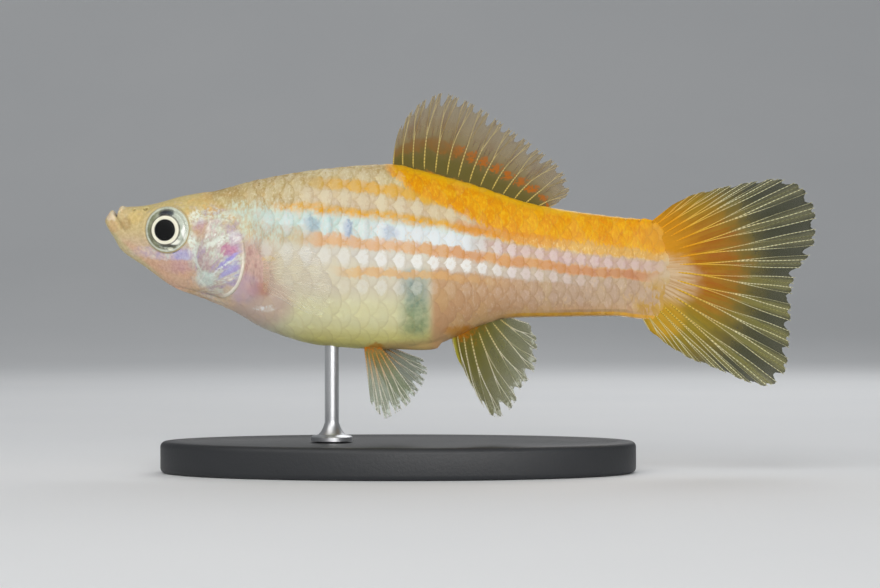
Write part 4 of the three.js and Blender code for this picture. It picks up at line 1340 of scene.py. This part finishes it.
def corneaPaint():
    paint = Paint("corneaClear")
    clear = paint.node("ShaderNodeBsdfTransparent", {}, {"Color": (1, 1, 1, 1)})
    gloss = paint.node("ShaderNodeBsdfPrincipled", {}, {
        "Base Color": (1, 1, 1, 1), "Metallic": 1.0, "Roughness": 0.04})
    sheen = paint.node("ShaderNodeFresnel", {}, {"IOR": eyeLook["corneaBend"]})
    return paint.done(paint.node("ShaderNodeMixShader", {}, {0: sheen, 1: clear, 2: gloss}))


eyeMaterials = (eyePaint(), corneaPaint())
for sideName, side in sides.items():
    makeEye(sideName, side, *eyeMaterials)
print("eyes done")


# Fins: a thin web between branching, jointed rays. Each starts from the same lines as its solid
finLean = 12
webPlan = {"seed": 100, "across": 14, "along": 46, "fleshyReach": 0.24, "ripple": 0.05, "tipAt": 0.19}
rayPlan = {
    "sides": 6, "narrow": 0.76, "flatness": 1.15,
    "outer": {"rings": 40, "thick": 0.9, "inset": 0.06, "from": 0.02, "to": 0.985},
    "stem": {"rings": 26, "thick": 1.0},
    "branch": {"rings": 26, "thick": 0.82, "apart": 0.18, "before": 0.06, "after": 0.4},
    "twig": {"rings": 34, "thick": 0.72, "apart": 0.1, "before": 0.05, "after": 0.3,
             "fork": [0.24, 0.3]},
    "cleft": 0.01,
}
fins = {
    "dorsal_fin": {
        "rays": 15, "notch": 0.1, "bow": 0.05, "seed": 3, "start": 36.3, "end": 55, "sink": 1.2,
        "lean": 0.7,
        "edge": [[37.2, 16.3], [39, 18.9], [41.3, 20.4], [43.4, 20.8], [47.3, 19], [51.4, 16.2],
                 [54.8, 13.7], [57.5, 11.4], [58.6, 8.9], [58.2, 7.6], [56.9, 6.7]],
        "ray": [0.14, 0.06], "fork": [0.42, 0.55], "web": 0.09, "fleshy": 0.2,
    },
    "anal_fin": {
        "rays": 9, "notch": 0.08, "bow": -0.04, "seed": 5, "start": 43.6, "end": 49.7, "sink": -1.2,
        "lean": -0.5,
        "edge": [[44.7, -13.3], [47.3, -18.2], [48.8, -20.1], [50.3, -20.1], [51.7, -18.6], [52.6, -16.6],
                 [54.1, -14.8], [54.6, -12.3], [54.4, -9.7], [53.5, -8.3]],
        "ray": [0.15, 0.06], "fork": [0.34, 0.48], "web": 0.09, "fleshy": 0.25,
    },
    "caudal_fin": {
        "rays": 19, "notch": 0.035, "bow": 0, "seed": 7, "bend": 1.4, "end": 90,
        "root": [[67.6, 3.4], [69.4, 0.6], [69.4, -3], [67, -6.4]],
        "edge": [[71.6, 6.6], [74.2, 7.9], [78, 8.85], [81.6, 9.5], [85.1, 9.95], [88, 9], [89.7, 6.6],
                 [89.95, 3.6], [89.5, 0.8], [87.6, -1.9], [86.8, -5.5], [86.6, -11], [85.8, -15],
                 [83, -16.35], [77, -14.1], [73.7, -12.8], [70.7, -10.9], [68.6, -9.2]],
        "ray": [0.15, 0.07], "fork": [0.24, 0.34], "web": 0.09, "fleshy": 0.3,
    },
}
for sideName, edge in {
    "left": [[33.6, -18.4], [35.2, -20.2], [36.2, -20], [38.1, -18.8], [39.3, -17.3]],
    "right": [[36.6, -18.9], [38.6, -18.1], [39.7, -17], [40.3, -15.9], [40.7, -14.4], [40.3, -13]],
}.items():
    fins[f"pelvic_fin_{sideName}"] = {
        "rays": 6, "notch": 0.1, "bow": 0, "seed": 9 + sides[sideName], "start": 32.7, "end": 34.4,
        "sink": -0.9, "side": sides[sideName], "rootY": 1.5, "splay": 0.28, "edge": edge, "ray": [0.14, 0.06],
        "fork": [0.3, 0.44], "web": 0.08, "fleshy": 0.2,
    }
    fins[f"pectoral_fin_{sideName}"] = {
        "rays": 11, "notch": 0.03, "bow": 0, "seed": 15 + sides[sideName], "side": sides[sideName],
        "splay": 0.45, "clear": 0.55, "root": [[20.4, -0.6], [20.4, -4.2]],
        "edge": [[23.2, 0.8], [26.2, 0.9], [28, -0.7], [28.9, -3], [28.9, -5.3], [27.9, -7.3], [25.6, -6.9],
                 [22.8, -5.4]],
        "ray": [0.08, 0.03], "fork": [0.4, 0.55], "web": 0.06, "fleshy": 0.1,
    }


def finRoot(fin, across):
    if "root" in fin:
        return fin["rootLine"](across)
    x = blend(fin["start"], fin["end"], across)
    line = back if fin["sink"] > 0 else belly
    return Vector((x, line(x) - fin["sink"]))


# How far a point of a fin lies out of the middle plane
def finSide(fin, at):
    if "bend" in fin:
        reach = max(at.x - body["length"], 0) / (fin["end"] - body["length"])
        return fin["bend"] * reach ** 2
    if "clear" in fin:
        behind = at.x - fin["root"][0][0]
        return fin["side"] * (sideAt(at.x, at.y) + fin["clear"] + fin["splay"] * behind)
    if "rootY" in fin:
        return fin["side"] * (fin["rootY"] + fin["splay"] * max(belly(fin["start"]) - at.y, 0))
    line = back if fin["sink"] > 0 else belly
    return fin["lean"] * ((at.y - line(at.x)) / finLean) ** 2


def finPoint(fin, across, reach):
    root = finRoot(fin, across)
    tip = fin["edgeLine"](across)
    aside = Vector((root.y - tip.y, tip.x - root.x))
    at = root.lerp(tip, reach) + aside * (fin["bow"] * 4 * reach * (1 - reach))
    return Vector((at.x, finSide(fin, at), at.y))


# How much of a fin's reach is missing at a place on its edge: little at the tips of the ray's
# branches and most in the middle between two rays
def finFray(fin, across):
    phase = across * (fin["rays"] - 1)
    ray = int(phase + 0.5)
    away = phase - ray
    tipAt = webPlan["tipAt"]
    tooth = 0.5 - 0.5 * math.cos(2 * math.pi * (abs(away) - tipAt) / (2 * tipAt))
    tooth *= 0.7 + 0.6 * fin["gaps"][(ray * 5 + int(away * 9)) % fin["rays"]]
    gap = fin["gaps"][int(phase)] if phase < fin["rays"] - 1 else 0
    deep = step(0.3, 0.5, abs(away)) * gap
    return fin["notch"] * (0.5 * tooth + deep + fin["worn"][ray])


def finWeb(fin):
    bm = bmesh.new()
    bmesh.ops.create_grid(bm, x_segments=(fin["rays"] - 1) * webPlan["across"],
                          y_segments=webPlan["along"], size=0.5)
    bmesh.ops.solidify(bm, geom=bm.faces[:], thickness=1)
    spread = bm.verts.layers.float_vector.new("spread")
    middle = sum(vert.co.z for vert in bm.verts) / len(bm.verts)
    for vert in bm.verts:
        across = clamp(vert.co.x + 0.5)
        along = clamp(vert.co.y + 0.5)
        side = 1 if vert.co.z > middle else -1
        phase = across * (fin["rays"] - 1)
        at = finPoint(fin, across, along - finFray(fin, across) * along ** 5)
        half = blend(fin["fleshy"], fin["web"] / 2, step(0, webPlan["fleshyReach"], along))
        half *= 1 - 0.5 * along ** 8
        wave = math.cos(2 * math.pi * phase) * (1 if int(phase) % 2 else -1)
        at.y += webPlan["ripple"] * along * wave
        at.y += side * half
        vert[spread] = (phase, along, 0)
        vert.co = at
    bmesh.ops.recalc_face_normals(bm, faces=bm.faces)
    return bm


def rodTemplate(rings):
    bm = bmesh.new()
    bmesh.ops.create_cone(bm, cap_ends=True, segments=rayPlan["sides"], radius1=1, radius2=1, depth=1)
    lengthwise = [edge for edge in bm.edges if abs(edge.verts[0].co.z - edge.verts[1].co.z) > 0.5]
    bmesh.ops.subdivide_edges(bm, edges=lengthwise, cuts=rings - 1)
    mesh = bpy.data.meshes.new("rodTemplate")
    bm.to_mesh(mesh)
    bm.free()
    return mesh


rods = {kind: rodTemplate(rayPlan[kind]["rings"]) for kind in ("outer", "stem", "branch", "twig")}


# One length of a ray between two shares of its reach, jointed and tapering
def rayLength(bm, spread, fin, kind, number, start, end, offset):
    count = fin["rays"] - 1
    rings = rayPlan[kind]["rings"]

    def centre(reach):
        across = clamp((number + offset(reach)) / count)
        worn = finFray(fin, across) * 0.2
        return finPoint(fin, across, reach - worn * reach ** 5)
    spine = []
    for k in range(rings + 1):
        reach = blend(start, end, k / rings)
        here = centre(reach)
        ahead = (centre(min(reach + 0.01, 1)) - centre(reach - 0.01)).normalized()
        flat = ahead.cross(Vector((0, 1, 0))).normalized()
        out = flat.cross(ahead)
        joint = 1.0 if k % 2 else rayPlan["narrow"]
        radius = blend(*fin["ray"], reach) * rayPlan[kind]["thick"] * joint
        spine.append((here, flat * radius, out * radius * rayPlan["flatness"], reach))

    def move(p):
        here, flat, out, _ = spine[round((p.z + 0.5) * rings)]
        return here + flat * p.x + out * p.y
    verts, _ = stamp(bm, rods[kind], move)
    for vert, source in zip(verts, rods[kind].vertices):
        part = round((source.co.z + 0.5) * rings)
        vert[spread] = (number, spine[part][3], (source.co.z + 0.5) * rings / 2)


# How far a branch has spread from where it forks
def parted(kind, fork, reach):
    plan = rayPlan[kind]
    return rayPlan["cleft"] + plan["apart"] * step(fork - plan["before"], fork + plan["after"], reach)


# The outermost rays stay whole; each of the others forks twice
def finRays(fin):
    draw = random.Random(fin["seed"])
    bm = bmesh.new()
    spread = bm.verts.layers.float_vector.new("spread")
    outer = rayPlan["outer"]
    for number in range(fin["rays"]):
        if number in (0, fin["rays"] - 1):
            inward = outer["inset"] if number == 0 else -outer["inset"]
            rayLength(bm, spread, fin, "outer", number, outer["from"], outer["to"], lambda reach: inward)
            continue
        fork = draw.uniform(*fin["fork"])
        second = fork + draw.uniform(*rayPlan["twig"]["fork"])
        rayLength(bm, spread, fin, "stem", number, 0.0, fork + 0.02, lambda reach: 0)
        for one in (-1, 1):
            def branch(reach):
                return one * parted("branch", fork, reach)
            rayLength(bm, spread, fin, "branch", number, fork, second + 0.01, branch)
            for two in (-1, 1):
                def twig(reach):
                    return branch(reach) + two * parted("twig", second, reach)
                rayLength(bm, spread, fin, "twig", number, second, 1.0, twig)
    bmesh.ops.recalc_face_normals(bm, faces=bm.faces)
    return bm


def prepareFin(fin):
    draw = random.Random(fin["seed"] + webPlan["seed"])
    fin["edgeLine"] = lineThrough(fin["edge"])
    if "root" in fin:
        fin["rootLine"] = lineThrough(fin["root"])
    fin["gaps"] = [draw.uniform(0.5, 1.5) for _ in range(fin["rays"])]
    fin["worn"] = [draw.uniform(0.0, 0.35) for _ in range(fin["rays"])]


# Web colours: each fin's layers over its base colour, with how solid the web is
def webPaint(name):
    paint = Paint(f"web_{name}")
    x, _, height = paint.xyz()
    phase, along, _ = paint.attribute("spread")
    cloud = paint.noise(1.3) - 0.5
    fine = paint.noise(0.35, 3) - 0.5
    fleck = paint.noise(0.5, 3, 0.6)
    between = (phase + cloud * 0.15).fraction()
    middle = between.near(0.5, 0.3)
    reach = along + cloud * 0.16 + fine * 0.06
    if name == "dorsal":
        base = paint.mix((98, 88, 26), (146, 128, 88), reach.rise(0.2, 0.7))
        streak = paint.streaks(phase * 6, along * 2.2)
        base = paint.mix(base, (112, 76, 40), streak.rise(0.5, 0.66) * reach.rise(0.3, 0.5) * 0.6)
        spots = paint.spot(between - 0.5 + fine * 1.4, reach - 0.42 + fine * 0.24, 0.36, 0.085)
        spots = spots * (phase + cloud * 3).rise(4, 7) * (0.95 + cloud + fine)
        joined = reach.near(0.41, 0.08) * phase.rise(8, 5) * (0.3 + cloud + streak * 0.5)
        upper = reach.near(0.64, 0.08) * phase.rise(6.5, 4.0) * streak.rise(0.4, 0.6) * 0.4
        base = paint.over(base, [
            ((136, 88, 10), joined), ((172, 94, 0), spots), ((130, 94, 30), upper),
            ((210, 142, 0), reach.rise(0.11, 0.05))])
        alpha = 0.86 - along.rise(0.25, 0.95) * 0.42 + spots * 0.12
    elif name == "anal":
        rear = phase / 8 + cloud * 0.2
        outward = (rear * 0.7 + reach * 0.5).rise(0.3, 0.95)
        base = paint.mix((102, 96, 20), (122, 124, 80), outward)
        base = paint.over(base, [
            ((92, 88, 30), middle * (0.35 + cloud)),
            ((166, 102, 0), (reach + rear * 0.3 + fine * 0.4).rise(0.36, 0.1)),
            ((176, 168, 40), phase.rise(0.9, 0.2) * 0.8),
            ((226, 230, 216), reach.rise(0.84, 0.98) * fleck.rise(0.45, 0.6) * 0.6)])
        alpha = 0.88 - (rear * 0.5 + reach * 0.4).rise(0.2, 0.9) * 0.4 + reach.rise(0.36, 0.2) * 0.12
    elif name == "caudal":
        away = ((x - 68) ** 2 + (height + 1) ** 2) ** 0.5 + cloud * 2.4 + fine
        streak = paint.streaks(phase * 4, along * 3.2)
        base = paint.mix((98, 96, 58), (122, 118, 54), height.rise(0.4, -5))
        base = paint.mix(base, (56, 58, 40), middle * 0.88)
        glow = ((x - 77.0 + cloud * 4) / 4.6) ** 2 + ((height + 0.9) / 7.8) ** 2
        glow = glow.rise(1.2, 0.0) * streak.rise(0.3, 0.66)
        base = paint.over(base, [
            ((150, 128, 24), away.rise(17, 10) * (0.4 + streak * 0.8)),
            ((164, 112, 0), (away + (streak - 0.5) * 8).rise(14, 5.5) * height.rise(-8.5, -3.5)),
            ((158, 78, 0), glow * 0.8),
            ((200, 136, 0), (away - height * 0.18 + (streak - 0.5) * 3).rise(8.6, 2.6)
             * height.rise(-2.4, 0.0)),
            ((206, 180, 146), paint.spot(x - 70.6 + cloud * 2, height + 3.0 + cloud, 4.8, 3.6)
             * (0.3 + streak.rise(0.32, 0.6) * 0.6)),
            ((190, 146, 30), paint.spot(x - 70.6, height + 7.8, 2.8, 2.8) * (0.3 + streak))])
        alpha = 0.72 + away.rise(15, 7) * 0.28 + middle * 0.08 - along.rise(0.7, 1.0) * 0.12
    elif name == "pelvic":
        base = paint.mix((132, 122, 66), (132, 142, 112), reach.rise(0.15, 0.6))
        base = paint.over(base, [
            ((190, 110, 4), (reach + fine * 0.2).rise(0.16, 0.04)),
            ((230, 238, 232), reach.rise(0.8, 0.96) * fleck.rise(0.42, 0.58) * 0.7)])
        alpha = 0.54 + along.rise(0.3, 0.1) * 0.4
    else:
        base = paint.mix((222, 204, 166), (232, 228, 214), along)
        alpha = 0.035 + along.rise(0.16, 0.02) * 0.06
    return paint.done(base, {
        "Normal": paint.relief(fine + cloud, 0.05), "Roughness": 0.45, "Alpha": alpha,
        "Specular IOR Level": 0.12})


# Ray colours: paler than the web, with the small joints showing
rayTints = {
    "dorsal": [(216, 190, 96), (206, 190, 146)],
    "anal": [(210, 192, 120), (238, 236, 220)],
    "caudal": [(216, 182, 56), (228, 226, 190)],
    "pelvic": [(206, 146, 66), (240, 240, 230)],
    "pectoral": [(255, 238, 196), (255, 248, 236)],
}


def rayPaint(name):
    paint = Paint(f"rays_{name}")
    x, _, height = paint.xyz()
    _, along, joint = paint.attribute("spread")
    cloud = paint.noise(1.3) - 0.5
    base = paint.mix(*rayTints[name], (along + cloud * 0.2).rise(0.15, 0.75))
    gap = joint.fraction().near(0.5, 0.24)
    if name != "pectoral":
        base = paint.mix(base, (104, 90, 36), gap * 0.7)
    if name == "caudal":
        away = ((x - 68) ** 2 + (height + 1) ** 2) ** 0.5 + cloud * 2
        base = paint.over(base, [
            ((222, 170, 24), away.rise(14, 9) * height.rise(-8, -3) * 0.7),
            ((220, 150, 0), away.rise(9, 6) * height.rise(-2, 0.6))])
    alpha = 1.0 if name != "pectoral" else 0.1
    return paint.done(base, {"Roughness": 0.42, "Alpha": alpha, "Specular IOR Level": 0.2})


finPaints = {}
for name, fin in fins.items():
    prepareFin(fin)
    kind = name.split("_")[0]
    if kind not in finPaints:
        finPaints[kind] = (webPaint(kind), rayPaint(kind))
    makePiece(finWeb(fin), f"{name}_web", finPaints[kind][0], (name,))
    makePiece(finRays(fin), f"{name}_rays", finPaints[kind][1])
for rod in rods.values():
    bpy.data.meshes.remove(rod)
print("fins done")


# Stand: a flat oval base and a turned rod up to the belly
stand = {
    "length": 60, "width": 30, "thickness": 4, "bevel": 0.7, "x": -8, "sides": 160,
    "ledge": 2.2, "groove": 0.3, "grooveDepth": 0.18,
    "rodX": 28.6, "rodRadius": 0.9, "over": 0.55, "rodSides": 64, "rodSteps": 24,
    "footGap": 0.02, "rodFrom": 2.6,
    "foot": [(2.6, 0), (2.6, 0.5), (2.45, 0.62), (1.7, 0.8), (1.35, 1.2), (1.1, 1.7), (0.9, 2.3)],
}
worldPlace = Matrix.Scale(mm, 4)


def standBase():
    bm = bmesh.new()
    bmesh.ops.create_cone(bm, cap_ends=True, segments=stand["sides"], radius1=0.5, radius2=0.5,
                          depth=stand["thickness"])
    oval = Matrix.Diagonal((stand["length"], stand["width"], 1, 1))
    raised = Matrix.Translation((stand["x"], 0, stand["thickness"] / 2))
    bmesh.ops.transform(bm, verts=bm.verts, matrix=raised @ oval)
    top = [face for face in bm.faces if face.normal.z > 0.9]
    bmesh.ops.inset_region(bm, faces=top, thickness=stand["ledge"])
    inner = [face for face in bm.faces if face.normal.z > 0.9 and len(face.verts) > 10]
    bmesh.ops.inset_region(bm, faces=inner, thickness=stand["groove"], depth=-stand["grooveDepth"])
    rims = [edge for edge in bm.edges if edge.calc_face_angle(0) > 1.2]
    bmesh.ops.bevel(bm, geom=rims, offset=stand["bevel"], segments=5, profile=0.5, material=-1,
                    affect="EDGES")
    paint = Paint("baseBlack")
    grain = paint.noise(0.35, 3, 0.6)
    cloud = paint.noise(9)
    base = paint.mix((34, 36, 39), (44, 46, 49), cloud)
    material = paint.done(base, {"Normal": paint.relief(grain, 0.03), "Roughness": 0.42 + grain * 0.12})
    makePiece(bm, "base", material, ("stand_base",), worldPlace, 40)


def standRod():
    foot = stand["thickness"] + stand["footGap"]
    top = fishHeight + belly(stand["rodX"]) + stand["over"]
    profile = [(0, foot)] + [(r, foot + z) for r, z in stand["foot"]]
    steps = stand["rodSteps"]
    low = foot + stand["rodFrom"]
    profile += [(stand["rodRadius"], blend(low, top, k / steps)) for k in range(steps + 1)]
    bm = spun(profile + [(0, top)], stand["rodSides"])
    bmesh.ops.translate(bm, verts=bm.verts, vec=(fishStart + stand["rodX"], 0, 0))
    paint = Paint("rodSteel")
    brushed = paint.noise(0.5, 3, 0.7, stretch=(1, 1, 14))
    base = paint.mix((188, 190, 193), (212, 213, 215), brushed)
    material = paint.done(base, {
        "Normal": paint.relief(brushed, 0.012), "Roughness": 0.26 + brushed * 0.14, "Metallic": 1.0})
    makePiece(bm, "rod", material, ("stand_rod",), worldPlace, 35)


standBase()
standRod()
print("stand done")
